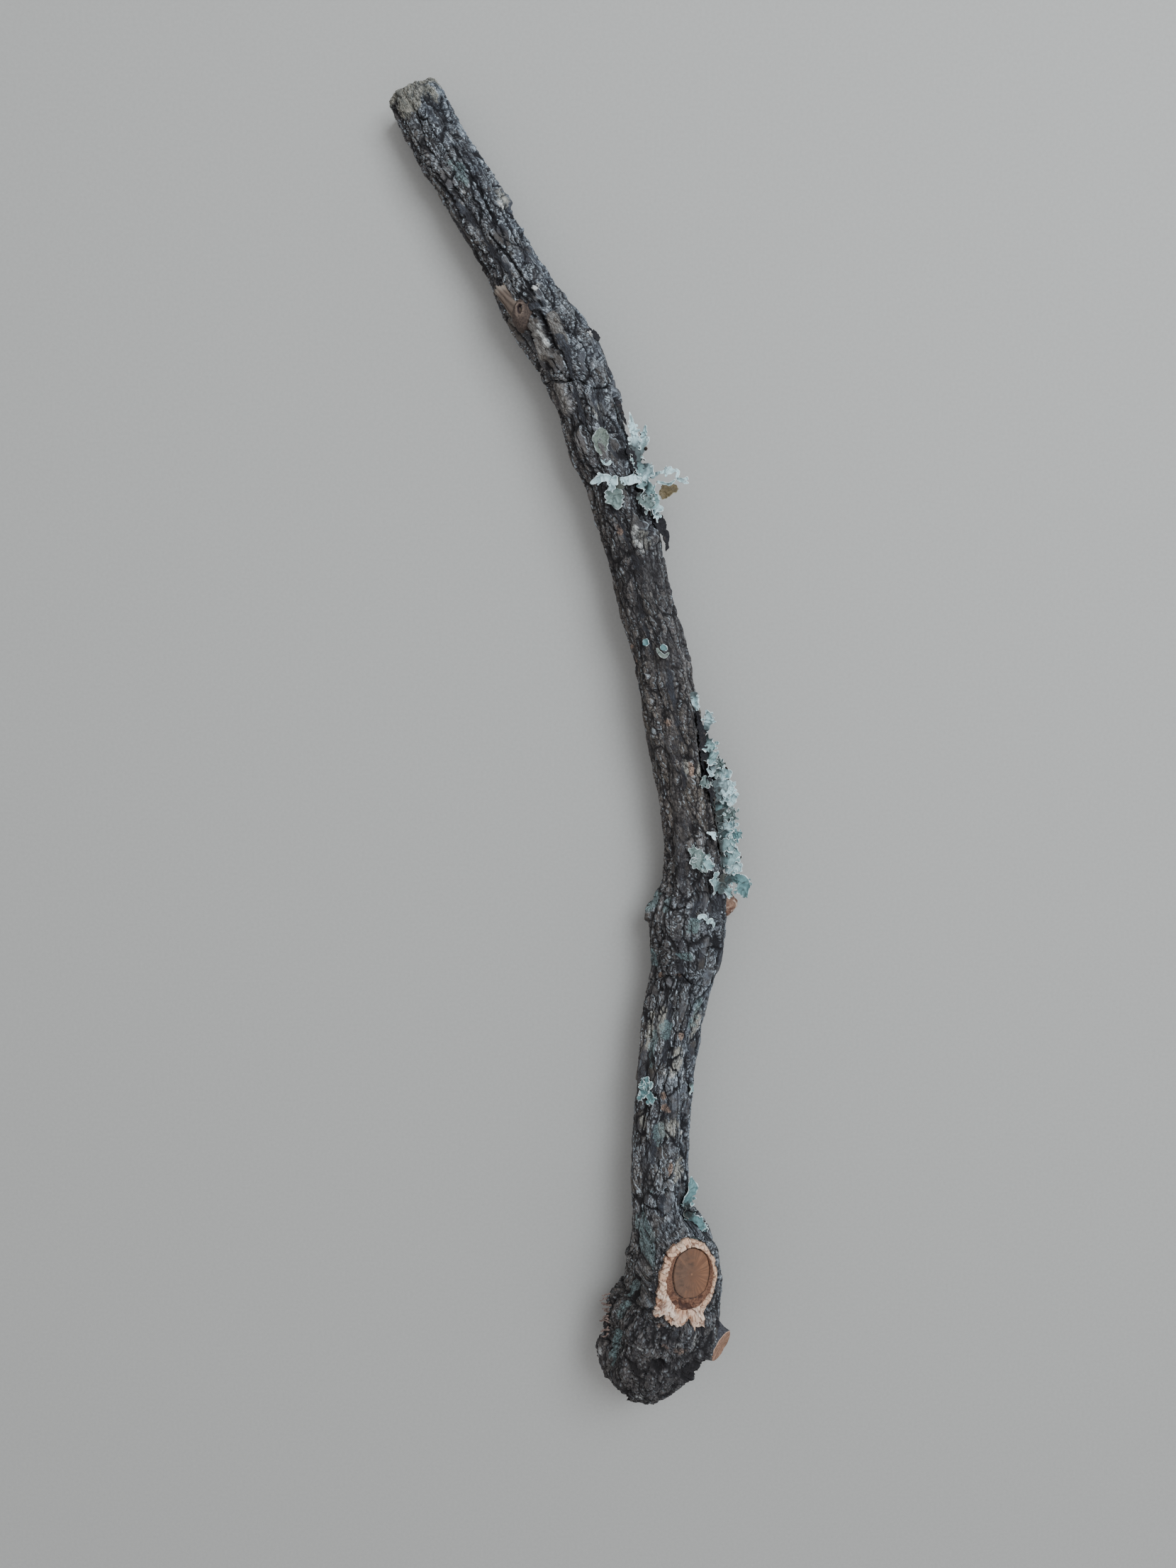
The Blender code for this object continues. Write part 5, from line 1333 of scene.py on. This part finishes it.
# %% Bend one leaf
def leaf(route, widths, face, kind, seed):
    """One leaf along a route of (pixel, pixel, lift) places, as a flat sheet bent to shape."""
    teal, grey, white, shade, ruffle, wave, scallop = KINDS[kind]
    # The middle line of the leaf, and the way it faces at each of its points.
    line = np.array([hug(*place) for place in route])
    span = np.linalg.norm(np.diff(line, axis=0), axis=1).sum()
    rows = max(10, int(span / LEAF_STEP))
    columns = max(8, int(max(widths) / LEAF_STEP))
    piece, row, column = flat_sheet("leaf", rows, columns)
    a, v = row / rows, 2 * column / columns - 1
    at = a * (len(line) - 1)
    here = smooth(line, at)
    ahead = unit(smooth(line, at + 0.06) - smooth(line, at - 0.06))
    facing = here - middle(nearest(here))[0] if face is None else np.tile(np.array(face, float), (len(a), 1))
    across = unit(np.cross(ahead, facing))
    facing = unit(np.cross(across, ahead))
    half = smooth(np.array(widths)[:, None], at)[:, 0] / 2 * rounded_ends(a)
    # The outline: notches, scallops and a frill.
    side = np.sign(v)
    margin = np.abs(v)
    outline = np.stack([a * span, 9.0 * side + seed * 3.7, 0 * a + seed], axis=1)
    notch = a * span / 2.3 + 0.37 * side + 0.31 * seed + 0.5 * clouds(outline, 2.4, 199)
    lobe = np.abs(np.sin(math.pi * notch)) ** 0.6
    which = shuffled(np.stack([np.floor(notch), 5 + side, 0 * a + seed], axis=1), 198)
    frill = 0.5 * clouds(outline, 0.7, 201)
    x = v * half * (1 + margin * (scallop * (1.5 * lobe - 0.9 + frill) + 0.3 * (which - 0.5)))
    x += 0.25 * half * clouds(outline * [1, 0, 1], 3.0, 202)
    tip = step_up(a, 0.55, 1.0)
    rooted = 0.0 if face is None or route[0][2] > 1.5 else 0.9
    flatly = np.stack([a * span, v * half, 0 * a + seed], axis=1)
    y = tip * (1.1 * clouds(np.stack([v * half + seed, 0 * a, 0 * a + seed], axis=1), 0.9, 203) - 0.2)
    # The height: waves along the margin, folds, and a curl at the tip.
    phase = 2 * math.pi * a * span / wave + 2.2 * side + seed * 1.7 + 1.4 * clouds(outline, 2.2, 204)
    size = np.clip(half / 1.6, 0.25, 1.3)
    rise = ruffle * size * margin**1.7 * (0.6 * np.sin(phase) + 1.3 * (which - 0.45)) + 0.14 * half * v * v
    crease = np.abs(clouds(flatly, 1.4, 205))
    rise += 0.25 * margin**3 * size + 0.75 * (0.4 - crease) + 0.22 * clouds(flatly, 0.75, 206)
    rise += 0.5 * tip**2 * (1 if seed % 3 else -0.6)
    if face is not None:
        roll = (1.3 * ((seed * 0.618) % 1) - 0.65) * step_up(a, 0.0, 0.6)
        rise += x * np.tan(roll)
    points = here + across * x[:, None] + facing * rise[:, None] + ahead * y[:, None]
    points = clear_of_bark(points, BARK_ROOM)
    set_points(piece, points)
    rim = np.maximum(step_up(margin, 0.80, 1.0), step_up(a, 0.92, 1.0))
    # By the fold mark the finish paints shade in the creases, and the shade mark darkens the roots of
    # standing leaves as painted shade.
    paint(piece, {
        "rim": rim, "teal": teal + 0 * a, "grey": grey + 0 * a, "white": white + 0 * a,
        "shade": np.maximum(shade, rooted * (1 - step_up(a, 0.16, 0.55))),
        "fold": np.clip(2.6 * crease + 0.25 * lobe * margin, 0, 1),
    })
    edge = (margin > 0.999) & (a > 0.15)
    way = across * side[:, None] + 0.45 * ahead
    return piece, points[edge], way[edge], facing[edge], half[edge], (teal, grey, white, shade)


# %% [markdown]
# ## Small lobes on the margins
#
# The margin of a leaf is never bare: small lobes grow from it, one or two millimetres long, each turned its
# own way. They are made together as one long ribbon, which is then cut into snippets, and each snippet is
# bent into a rounded lobe at its place on a margin. That is one mesh operation for hundreds of lobes.

# %% Cut a ribbon into snippets
SNIPPET_ROWS = 5
SNIPPET_COLUMNS = 4
LOBE_LENGTHS = (0.9, 2.0)
NARROWEST_EDGE = 0.75


def small_lobes(leaves, spacing):
    """Rounded lobes, this many mm apart, along the margins of the leaves."""
    roots, ways, faces, tints, halves = [], [], [], [], []
    for piece, edge, way, facing, half, tint in leaves:
        wide_enough = np.flatnonzero(half > NARROWEST_EDGE)
        wanted = int(len(wide_enough) * LEAF_STEP / spacing)
        if wanted:
            chosen = draw.choice(wide_enough, wanted, replace=False)
            roots.append(edge[chosen])
            ways.append(way[chosen])
            faces.append(facing[chosen])
            tints.append(np.tile(tint, (wanted, 1)))
            halves.append(half[chosen])
    if not roots:
        return None
    roots, ways, faces = np.concatenate(roots), np.concatenate(ways), np.concatenate(faces)
    tints, halves = np.concatenate(tints), np.concatenate(halves)
    n = len(roots)
    ways = unit(unit(ways) + 0.55 * draw.normal(size=(n, 3)) + faces * draw.uniform(0.0, 0.9, (n, 1)))
    sides = unit(np.cross(ways, faces + 0.4 * draw.normal(size=(n, 3))))
    faces = np.cross(sides, ways)
    long = draw.uniform(*LOBE_LENGTHS, n) * np.clip(halves / 1.5, 0.35, 1)
    wide = long * draw.uniform(0.55, 1.05, n)
    curl = draw.uniform(-0.2, 0.9, n)
    piece, row, column = flat_sheet("lobes", n * (SNIPPET_ROWS + 1) - 1, SNIPPET_COLUMNS)
    which = row // (SNIPPET_ROWS + 1)
    a = (row % (SNIPPET_ROWS + 1)) / SNIPPET_ROWS
    v = 2 * column / SNIPPET_COLUMNS - 1
    half = wide[which] / 2 * np.sqrt(np.clip(1 - (1.8 * a - 0.85) ** 2 * 0.95, 0.04, 1))
    y = long[which] * (a - 0.15 - 0.18 * np.abs(v) * a)
    rise = curl[which] * long[which] * a * a * 0.5 + 0.25 * half * v * v + 0.12 * np.sin(7 * a + which)
    points = roots[which] + sides[which] * (v * half)[:, None]
    points = points + ways[which] * y[:, None] + faces[which] * rise[:, None]
    points = clear_of_bark(points, BARK_ROOM + 0.1)
    set_points(piece, points)
    rim = np.maximum(step_up(np.abs(v), 0.6, 1.0), step_up(a, 0.7, 1.0))
    # Each lobe is painted darker towards its root, as painted shade.
    marks = {"rim": rim, "fold": 0.3 + 0.7 * a}
    for k, name in enumerate(("teal", "grey", "white", "shade")):
        marks[name] = tints[which, k]
    paint(piece, marks)
    take(piece)
    bpy.ops.object.mode_set(mode="EDIT")
    bpy.ops.mesh.select_all(action="DESELECT")
    bpy.ops.object.mode_set(mode="OBJECT")
    snippets = np.array([[which[i] for i in face.vertices] for face in piece.data.polygons])
    piece.data.polygons.foreach_set("select", snippets.min(axis=1) != snippets.max(axis=1))
    bpy.ops.object.mode_set(mode="EDIT")
    bpy.ops.mesh.delete(type="FACE")
    bpy.ops.object.mode_set(mode="OBJECT")
    return piece


# %% [markdown]
# ## The finish of a lichen
#
# The upper skin is a matt blue-grey green that pales to nearly white on its margin. Where it is younger it is
# more teal, and where it is old or worn it turns grey-olive. The folds and the roots of standing leaves are
# painted darker than the crests, as painted shade, and black sheets in the gaps under a colony are painted
# shadow. The underside is dark brown, nearly black at the middle, with a paler brown edge. One finish serves
# all the colonies, because the leaves carry their own tints. The black flakes, partly dark bark and partly
# painted shadow, the olive lobe and the bast are two tones each.

# %% Mix the lichen skins
def thallus_finish():
    mixed = Finish("lichen_upper_skin", 0.86)
    fine = mixed.grain(0.5, 4)
    broad = mixed.grain(2.2, 3)
    mint = mixed.tones(broad, 0.40, 0.60, (86, 120, 122), (146, 184, 184))
    teal = mixed.tones(broad, 0.40, 0.62, (84, 122, 126), (112, 154, 158))
    mixed.skin = mixed.mix("teal", mint, teal)
    mixed.lay(mixed.tones(fine, 0.40, 0.60, (94, 101, 94), (132, 140, 131)), "grey")
    mixed.lay((218, 247, 255), "white", 0, 1, 0, 0.85)
    # Painted shade in the folds.
    mixed.lay((50, 58, 58), "fold", 0.55, 0.05, 0, 0.85)
    mixed.lay((96, 106, 98), fine, 0.54, 0.7, 0, 0.55)
    edge = mixed.times("rim", mixed.between(broad, 0.36, 0.56), mixed.between("grey", 0.5, 0.9, 1.0, 0.55))
    mixed.lay((238, 252, 255), edge, 0.1, 0.9, 0, 0.95)
    mixed.lay((34, 29, 28), "shade", 0, 1, 0, 0.95)
    return mixed.done(fine, 0.15, 0.7)


SKIN = thallus_finish()
UNDERSIDE = two_tone(
    "lichen_underside", 0.9, (0.5, 4), ("grain", 0.36, 0.64, (24, 19, 18), (60, 48, 42)),
    [((136, 124, 108), "rim", 0.6, 1.0, 0, 0.7)], (0.15, 0.7))
FLAKE_AND_SHADOW_SKIN = two_tone(
    "black_flake_and_painted_shadow", 0.85, (0.5, 4), ("grain", 0.40, 0.70, (11, 11, 17), (42, 41, 48)),
    [((96, 84, 76), (1.4, 3), 0.60, 0.70, 0, 0.4)], (0.25, 0.9))
OLIVE = two_tone(
    "olive_lobe_skin", 0.6, (0.6, 4), ("grain", 0.36, 0.64, (82, 72, 48), (118, 104, 76)),
    [((150, 146, 116), "rim", 0.6, 1.0, 0, 0.7)], (0.12, 0.6))
FIBRE = two_tone(
    "torn_bast", 0.9, (0.8, 3), ("grain", 0.36, 0.64, (96, 80, 76), (140, 122, 114)), [], (0.1, 0.5))


# %% [markdown]
# ## From leaves to a colony
#
# The leaves of a colony and their small lobes are joined into one mesh. Points that fell together at a tip
# are merged, and a Solidify modifier gives the papery skin its thickness, with the second finish on the
# underside.

# %% Build one colony from its table
def colony(name, table, spacing=0, skins=(SKIN, UNDERSIDE)):
    leaves = [leaf(*line, seed) for seed, line in enumerate(table, start=len(name) * 7)]
    sheets = [made[0] for made in leaves]
    lobes = small_lobes(leaves, spacing) if spacing else None
    if lobes:
        sheets.insert(0, lobes)
    take(*sheets)
    if len(sheets) > 1:
        bpy.ops.object.join()
    piece = bpy.context.object
    piece.name = name
    piece.data.name = name
    seal(piece, 0.003, outward=False)
    for material in skins:
        piece.data.materials.append(material)
    skin = piece.modifiers.new("skin", "SOLIDIFY")
    skin.thickness = LEAF_THICKNESS * MM
    skin.offset = -1
    skin.material_offset = 1
    take(piece)
    bpy.ops.object.modifier_apply(modifier=skin.name)
    bpy.ops.object.shade_smooth()
    count(piece)
    return piece


# %% [markdown]
# ## The colonies
#
# Each colony is a table of leaves, read off the view: the route of the leaf as column, row and lift off the
# bark, its widths along the route, the way it faces, and its kind. A leaf with no way to face lies on the
# bark and faces straight out of it. The black sheets, partly loose flakes of dark bark and partly painted
# shadow in the gaps between the bark and the lichens, the olive lobe and the torn bast fibres at the foot are
# thin sheets too, so they are made the same way.

# %% Leaves near the top
COLONIES = {
    "lichen_oval_leaf": [
        ([(849, 603, 0.9), (848, 616, 1.1), (848, 632, 1.1), (849, 647, 0.9)],
         [2.2, 4.6, 4.2, 1.0], None, "grey"),
        ([(848, 645, 0.7), (852, 651, 1.1), (858, 653, 1.2), (864, 650, 1.3)],
         [0.9, 1.5, 1.5, 0.8], None, "pale"),
    ],
    "lichen_front_folds": [
        ([(872, 674, 0.5), (872, 684, 0.8), (870, 692, 0.6)], [2.4, 3.4, 2.4], None, "brown"),
        ([(868, 680, 0.8), (857, 674, 2.0), (847, 675, 2.6), (836, 681, 2.0)],
         [1.6, 2.4, 2.8, 1.4], None, "white"),
        ([(865, 671, 1.0), (866, 679, 2.6), (863, 687, 3.0), (858, 690, 2.4)],
         [1.4, 2.4, 2.4, 1.2], None, "pale"),
        ([(875, 680, 0.8), (885, 677, 2.2), (896, 676, 2.8), (905, 677, 2.6)],
         [2.4, 3.0, 3.0, 2.2], None, "white"),
        ([(870, 689, 0.7), (869, 698, 1.1), (868, 708, 1.2), (868, 717, 0.9)],
         [3.0, 5.4, 5.8, 2.6], None, "ash"),
    ],
    "lichen_upper_cluster": [
        ([(887, 626, 0.5), (897, 650, 0.7), (906, 680, 0.7), (914, 708, 0.7), (922, 734, 0.5)],
         [3.6, 5.0, 6.0, 5.4, 2.4], EDGE, "mint"),
        ([(893, 642, 0.8), (895, 624, 2.0), (893, 604, 3.6), (889, 584, 4.4)],
         [2.4, 3.2, 2.8, 1.2], (0.2, 0, 1), "white"),
        ([(896, 650, 0.8), (905, 630, 3.4), (908, 614, 5.2), (911, 600, 6.4)],
         [2.6, 2.8, 2.0, 1.2], VIEWER, "pale"),
        ([(904, 660, 0.6), (914, 667, 3.0), (924, 672, 6.0)], [5.4, 6.4, 3.4], VIEWER, "white"),
        ([(918, 672, 3.0), (929, 667, 6.6), (936, 666, 8.6), (944, 663, 11.0), (953, 661, 13.0)],
         [2.0, 1.1, 1.3, 3.0, 1.4], VIEWER, "white"),
        ([(951, 662, 12.4), (957, 666, 13.6), (955, 674, 13.0), (960, 678, 14.0), (966, 677, 15.6)],
         [1.2, 1.1, 1.0, 1.4, 2.2], VIEWER, "white"),
        ([(961, 678, 14.2), (967, 676, 15.6), (973, 672, 17.2)], [1.0, 1.4, 0.8], VIEWER, "white"),
        ([(961, 678, 14.2), (967, 680, 15.6), (972, 683, 16.6)], [1.0, 1.4, 0.8], VIEWER, "white"),
        ([(926, 680, 5.4), (934, 681, 7.4), (944, 683, 10.0), (953, 677, 12.8)],
         [0.8, 0.7, 0.8, 0.7], VIEWER, "pale"),
        ([(908, 690, 0.6), (917, 692, 3.0), (927, 690, 5.0)], [4.0, 4.4, 3.0], (0.3, 0.2, 1), "mint"),
        ([(912, 706, 0.6), (921, 706, 3.0), (930, 700, 5.4)], [4.0, 4.4, 2.8], (0.3, -0.2, 1), "mint"),
        ([(905, 694, 0.8), (910, 706, 2.2), (915, 720, 1.8)], [3.0, 4.6, 2.8], (0.4, 0, 0.9), "dull"),
        ([(917, 720, 0.6), (926, 718, 3.0), (935, 719, 5.0)], [3.0, 3.0, 2.0], VIEWER, "white"),
        ([(916, 716, 0.6), (923, 726, 2.2), (929, 737, 2.8)], [3.0, 3.2, 1.8], EDGE, "pale"),
    ],
}
print(sum(len(table) for table in COLONIES.values()), "leaves near the top")

# %% Leaves along the middle
COLONIES |= {
    "lichen_mid_speck": [
        ([(908, 902, 0.6), (912, 907, 0.8), (916, 913, 0.7)], [1.4, 2.3, 1.2], None, "teal"),
    ],
    "lichen_mid_rosette": [
        ([(932, 911, 0.6), (936, 914, 0.8), (940, 919, 0.7)], [1.2, 2.2, 1.2], None, "teal"),
        ([(927, 914, 0.6), (930, 921, 0.8), (937, 926, 0.8), (942, 922, 0.6)],
         [0.8, 1.2, 1.3, 0.8], None, "grey"),
    ],
    "lichen_edge_chip": [
        ([(977, 976, 0.8), (980, 988, 0.9), (984, 1006, 0.7)], [2.6, 2.2, 1.2], VIEWER, "pale"),
    ],
    "lichen_long_colony": [
        # A black sheet along the bark under the colony: painted shadow in the gap.
        ([(990, 1034, 0.2), (997, 1066, 0.4), (1002, 1100, 0.4), (1008, 1140, 0.4), (1013, 1180, 0.4),
          (1018, 1220, 0.2)],
         [2.0, 3.8, 4.4, 4.8, 4.8, 3.8], EDGE, "black"),
        ([(993, 1036, 0.8), (997, 1024, 2.8), (1000, 1013, 4.2), (996, 1002, 4.4)],
         [1.2, 2.4, 3.0, 1.4], VIEWER, "pale"),
        ([(999, 1020, 3.4), (1004, 1015, 4.4), (1008, 1012, 5.4)], [1.6, 1.6, 0.9], VIEWER, "mint"),
        ([(993, 1041, 0.6), (1000, 1050, 2.6), (1006, 1061, 3.4)], [3.0, 4.4, 2.4], VIEWER, "mint"),
        ([(995, 1063, 0.6), (1003, 1068, 2.8), (1011, 1066, 4.2)], [4.0, 4.6, 2.6], VIEWER, "mint"),
        ([(998, 1078, 0.6), (1001, 1088, 2.2), (999, 1098, 2.0)], [4.0, 4.0, 2.2], (0.4, 0, 1), "pale"),
        ([(1000, 1082, 0.8), (1013, 1083, 3.8), (1025, 1080, 6.2)], [3.5, 6.0, 3.5], VIEWER, "dull"),
        ([(1004, 1095, 0.8), (1020, 1092, 4.6), (1034, 1093, 7.6)], [3.2, 4.0, 3.0], VIEWER, "pale"),
        ([(1004, 1108, 0.8), (1022, 1110, 4.5), (1038, 1112, 8.2)], [4.2, 6.0, 3.4], VIEWER, "white"),
        ([(1006, 1120, 0.8), (1026, 1124, 4.5), (1040, 1129, 8.0)], [4.0, 5.0, 2.8], (0, 0.3, 1), "pale"),
        ([(1002, 1097, 0.6), (994, 1103, 1.4), (988, 1112, 1.2)], [2.6, 3.4, 2.0], None, "dull"),
        ([(1006, 1134, 0.8), (1018, 1136, 3.0), (1031, 1133, 5.6)], [4.0, 4.5, 3.0], VIEWER, "mint"),
        ([(1009, 1150, 0.8), (1026, 1150, 4.2), (1041, 1150, 7.6)], [4.5, 6.0, 4.0], (0.2, 0, 1), "dull"),
        ([(1011, 1164, 0.8), (1026, 1166, 4.0), (1037, 1171, 6.4)], [4.0, 6.0, 3.5], (0, -0.2, 1), "pale"),
        ([(1012, 1178, 0.8), (1030, 1180, 4.4), (1048, 1176, 8.8)], [3.5, 4.5, 2.6], VIEWER, "teal"),
        ([(1013, 1176, 0.6), (1007, 1177, 1.4), (1000, 1175, 1.4)], [0.9, 1.6, 0.7], None, "white"),
        ([(1008, 1175, 1.2), (1006, 1180, 1.5), (1007, 1185, 1.3)], [0.8, 1.2, 0.6], None, "white"),
        ([(1014, 1191, 0.8), (1026, 1192, 3.6), (1037, 1190, 6.2)], [4.0, 5.0, 3.2], (0.2, 0.2, 1), "mint"),
        ([(1016, 1205, 0.8), (1030, 1208, 4.2), (1045, 1211, 8.0)], [4.4, 6.4, 3.8], VIEWER, "mint"),
        ([(1018, 1216, 0.8), (1032, 1220, 4.2), (1046, 1226, 7.2)], [4.0, 6.0, 3.2], (0, 0.2, 1), "pale"),
    ],
    "lichen_front_rosette": [
        ([(990, 1204, 0.5), (990, 1210, 0.6), (992, 1216, 0.5)], [3.4, 4.4, 3.4], None, "dull"),
        ([(990, 1207, 0.8), (981, 1202, 1.6), (973, 1199, 1.4)], [2.6, 3.8, 2.2], None, "ash"),
        ([(990, 1210, 0.8), (983, 1217, 1.7), (977, 1225, 1.3)], [3.4, 5.4, 2.6], None, "ash"),
        ([(991, 1213, 0.8), (998, 1219, 1.8), (1002, 1228, 1.7)], [3.0, 4.2, 2.6], None, "mint"),
    ],
}
print(sum(len(table) for table in COLONIES.values()), "leaves so far")

# %% Leaves round the knee and the foot
COLONIES |= {
    "lichen_broad_lobe": [
        ([(1013, 1240, 0.3), (1020, 1244, 0.4), (1027, 1247, 0.3)], [3.4, 5.0, 3.4], EDGE, "brown"),
        ([(1022, 1250, 0.8), (1011, 1249, 2.2), (1008, 1238, 3.0), (1014, 1231, 3.0)], [3.0, 3.8, 3.2, 2.0],
         (0.4, 0, 1), "mint"),
        ([(1018, 1247, 0.8), (1025, 1256, 1.8), (1032, 1257, 2.4)], [2.6, 3.2, 2.2], (0.4, 0, 1), "mint"),
        ([(1020, 1244, 0.8), (1033, 1239, 3.4), (1045, 1241, 6.4), (1049, 1253, 7.0), (1047, 1268, 6.0)],
         [2.6, 3.4, 4.6, 5.4, 3.0], VIEWER, "hook"),
    ],
    "lichen_node_curls": [
        ([(985, 1297, 0.5), (988, 1293, 1.0), (993, 1293, 1.1), (997, 1299, 0.8)],
         [1.0, 1.6, 1.6, 1.0], None, "white"),
        ([(997, 1303, 0.5), (1001, 1299, 1.0), (1005, 1302, 1.0), (1007, 1309, 0.8)],
         [1.0, 1.6, 1.4, 0.9], None, "pale"),
    ],
    "lichen_edge_bit": [
        ([(973, 1527, 0.5), (974, 1534, 0.7), (974, 1542, 0.5)], [1.6, 2.4, 1.4], EDGE, "mint"),
    ],
    "lichen_left_rosette": [
        ([(911, 1534, 0.5), (911, 1540, 0.6), (913, 1545, 0.5)], [3.2, 4.2, 3.2], None, "teal"),
        ([(911, 1539, 0.8), (908, 1530, 1.0), (906, 1522, 0.9)], [3.0, 2.8, 1.6], None, "teal"),
        ([(912, 1539, 0.8), (913, 1528, 1.1), (913, 1518, 0.9)], [3.0, 2.6, 1.6], None, "teal"),
        ([(912, 1539, 0.8), (917, 1531, 1.0), (921, 1525, 0.9)], [2.6, 2.2, 1.4], None, "mint"),
        ([(911, 1540, 0.8), (906, 1545, 1.0), (902, 1551, 0.8)], [3.0, 2.8, 1.6], None, "teal"),
        ([(913, 1542, 0.8), (920, 1549, 1.2), (926, 1555, 1.0)], [3.0, 3.6, 2.6], None, "teal"),
    ],
    "lichen_right_leaf": [
        ([(968, 1700, 0.1), (967, 1710, 0.3), (972, 1720, 0.2)], [2.6, 3.6, 2.6], EDGE, "brown"),
        ([(967, 1706, 0.8), (971, 1694, 1.8), (975, 1678, 2.6), (975, 1662, 2.8)], [2.6, 5.0, 5.4, 2.8],
         (0.35, 0, 0.95), "hook"),
        ([(968, 1710, 0.8), (976, 1720, 1.6), (987, 1727, 2.8), (995, 1735, 3.2)], [2.6, 3.8, 3.8, 2.2],
         (0.3, 0, 1), "teal"),
        ([(990, 1731, 3.0), (996, 1736, 3.2), (1001, 1741, 3.4)], [1.8, 1.8, 1.3], (0.3, 0, 1), "mint"),
    ],
}
print(sum(len(table) for table in COLONIES.values()), "leaves in", len(COLONIES), "colonies")

# %% Flakes, the olive lobe and the bast
# Black sheets: loose flakes of dark bark, and painted shadow in the gaps between the bark and the lichens.
FLAKES_AND_SHADOW_SHEETS = [
    ([(912, 722, 0.6), (926, 736, 1.6), (937, 752, 2.2), (939, 778, 1.4)],
     [3.0, 4.2, 3.6, 1.4], EDGE, "black"),
    ([(884, 620, 0.4), (889, 640, 0.9), (897, 670, 0.8)], [1.6, 2.6, 1.8], EDGE, "black"),
    ([(868, 564, 0.5), (875, 580, 1.4), (882, 601, 1.8)], [2.0, 2.8, 1.4], EDGE, "black"),
    ([(983, 1004, 0.4), (989, 1040, 0.9), (994, 1078, 0.9), (1003, 1132, 0.6)],
     [1.8, 3.4, 3.4, 2.0], EDGE, "black"),
    ([(965, 1708, 0.6), (974, 1709, 2.0), (983, 1710, 3.2)], [1.6, 1.8, 1.0], VIEWER, "black"),
    ([(972, 1724, 0.6), (982, 1736, 2.2), (992, 1743, 3.4), (996, 1738, 3.6)],
     [2.2, 2.8, 2.2, 1.0], VIEWER, "black"),
    ([(1003, 1856, 0.5), (1010, 1864, 1.2), (1013, 1872, 1.0)], [1.5, 2.2, 1.0], EDGE, "black"),
    ([(826, 468, 0.6), (838, 471, 1.8), (848, 479, 1.8)], [2.4, 3.2, 1.8], EDGE, "black"),
    ([(1008, 1100, 0.5), (1006, 1118, 1.0), (1008, 1138, 0.6)], [2.0, 2.8, 2.0], EDGE, "black"),
]
OLIVE_LOBE = [([(950, 683, 9.5), (942, 691, 8.0), (932, 702, 5.4)], [3.4, 5.0, 2.6], VIEWER, "grey")]
FIBRE_COUNT = 12
FIBRES = []
for k in range(FIBRE_COUNT):
    px, py = 862 - 0.3 * k + draw.uniform(-2, 2), 1826 + 5 * k
    ends = (px - draw.uniform(7, 14), py + draw.uniform(-6, 6))
    middle_place = ((px + ends[0]) / 2 + draw.uniform(-2, 2), (py + ends[1]) / 2 + draw.uniform(-3, 3), 0.9)
    route = [(px, py, 0.3), middle_place, (*ends, draw.uniform(0.8, 3.0))]
    FIBRES.append((route, [0.5, 0.35, 0.25], None, "brown"))
print(len(FLAKES_AND_SHADOW_SHEETS), "flakes and", len(FIBRES), "fibres")

# %% Build them all
# How far apart the small lobes stand on each colony's margins in mm; 0 where there are none.
LOBE_SPACING = {
    "lichen_oval_leaf": 0, "lichen_mid_speck": 0, "lichen_mid_rosette": 0, "lichen_node_curls": 0,
    "lichen_broad_lobe": 4.0, "lichen_front_folds": 4.0, "lichen_left_rosette": 4.0, "lichen_right_leaf": 4.0,
    "lichen_edge_bit": 4.0,
}
lichens = []
for node, table in COLONIES.items():
    leaves_name = node.replace("lichen_", "leaves_of_")
    lichens.append((colony(leaves_name, table, LOBE_SPACING.get(node, 2.2)), node))
lichens.append((colony("olive_lobe", OLIVE_LOBE, skins=(OLIVE, OLIVE)), "lichen_upper_cluster"))
woody.append(colony("loose_bark_flakes", FLAKES_AND_SHADOW_SHEETS, skins=(FLAKE_AND_SHADOW_SKIN, FLAKE_AND_SHADOW_SKIN)))
woody.append(colony("bast_fibres", FIBRES, skins=(FIBRE, FIBRE)))

# %% [markdown]
# ## The floor and the light
#
# The branch lies on a plain pale floor. One large soft lamp shines from the upper right and a dim even sky
# fills in, so the relief shows without hard shadows.

# %% Floor and light
nothing_selected()
bpy.ops.mesh.primitive_plane_add(size=6, location=(0, 0, 0))
floor = bpy.context.object
floor.name = "floor"
plain = Finish("plain_floor", 0.8)
plain.skin = plain.tones(plain.grain(1.2, 3), 0.3, 0.7, (172, 172, 170), (178, 178, 176))
floor.data.materials.append(plain.done())

LAMP_PLACE = Vector((0.52, 0.55, 1.0))
lamp = bpy.data.lights.new("soft_lamp", "AREA")
lamp.energy = 13.2
lamp.size = 0.7
lamp.color = (0.90, 0.96, 1.0)
holder = bpy.data.objects.new("soft_lamp", lamp)
holder.location = LAMP_PLACE
holder.rotation_euler = (-LAMP_PLACE).to_track_quat("-Z", "Y").to_euler()
bpy.context.scene.collection.objects.link(holder)
sky = bpy.data.worlds.new("soft_sky")
sky.use_nodes = True
background = sky.node_tree.nodes["Background"]
background.inputs["Color"].default_value = (0.92, 0.92, 0.93, 1)
background.inputs["Strength"].default_value = 0.72
bpy.context.scene.world = sky
print("floor and light are set")

# %% [markdown]
# ## Putting it together
#
# Everything here grew as one piece, so every mesh rides on the same body. The bark and the wood replace the
# plain branch of the measured model, and each colony replaces its own plain plates.

# %% Everything rides on the one body
for piece in bark + woody:
    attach(piece, "root")
    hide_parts("twig")
for piece, node in lichens:
    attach(piece, "root")
    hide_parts(node)

print("triangles in all:", sum(TRIANGLES.values()))
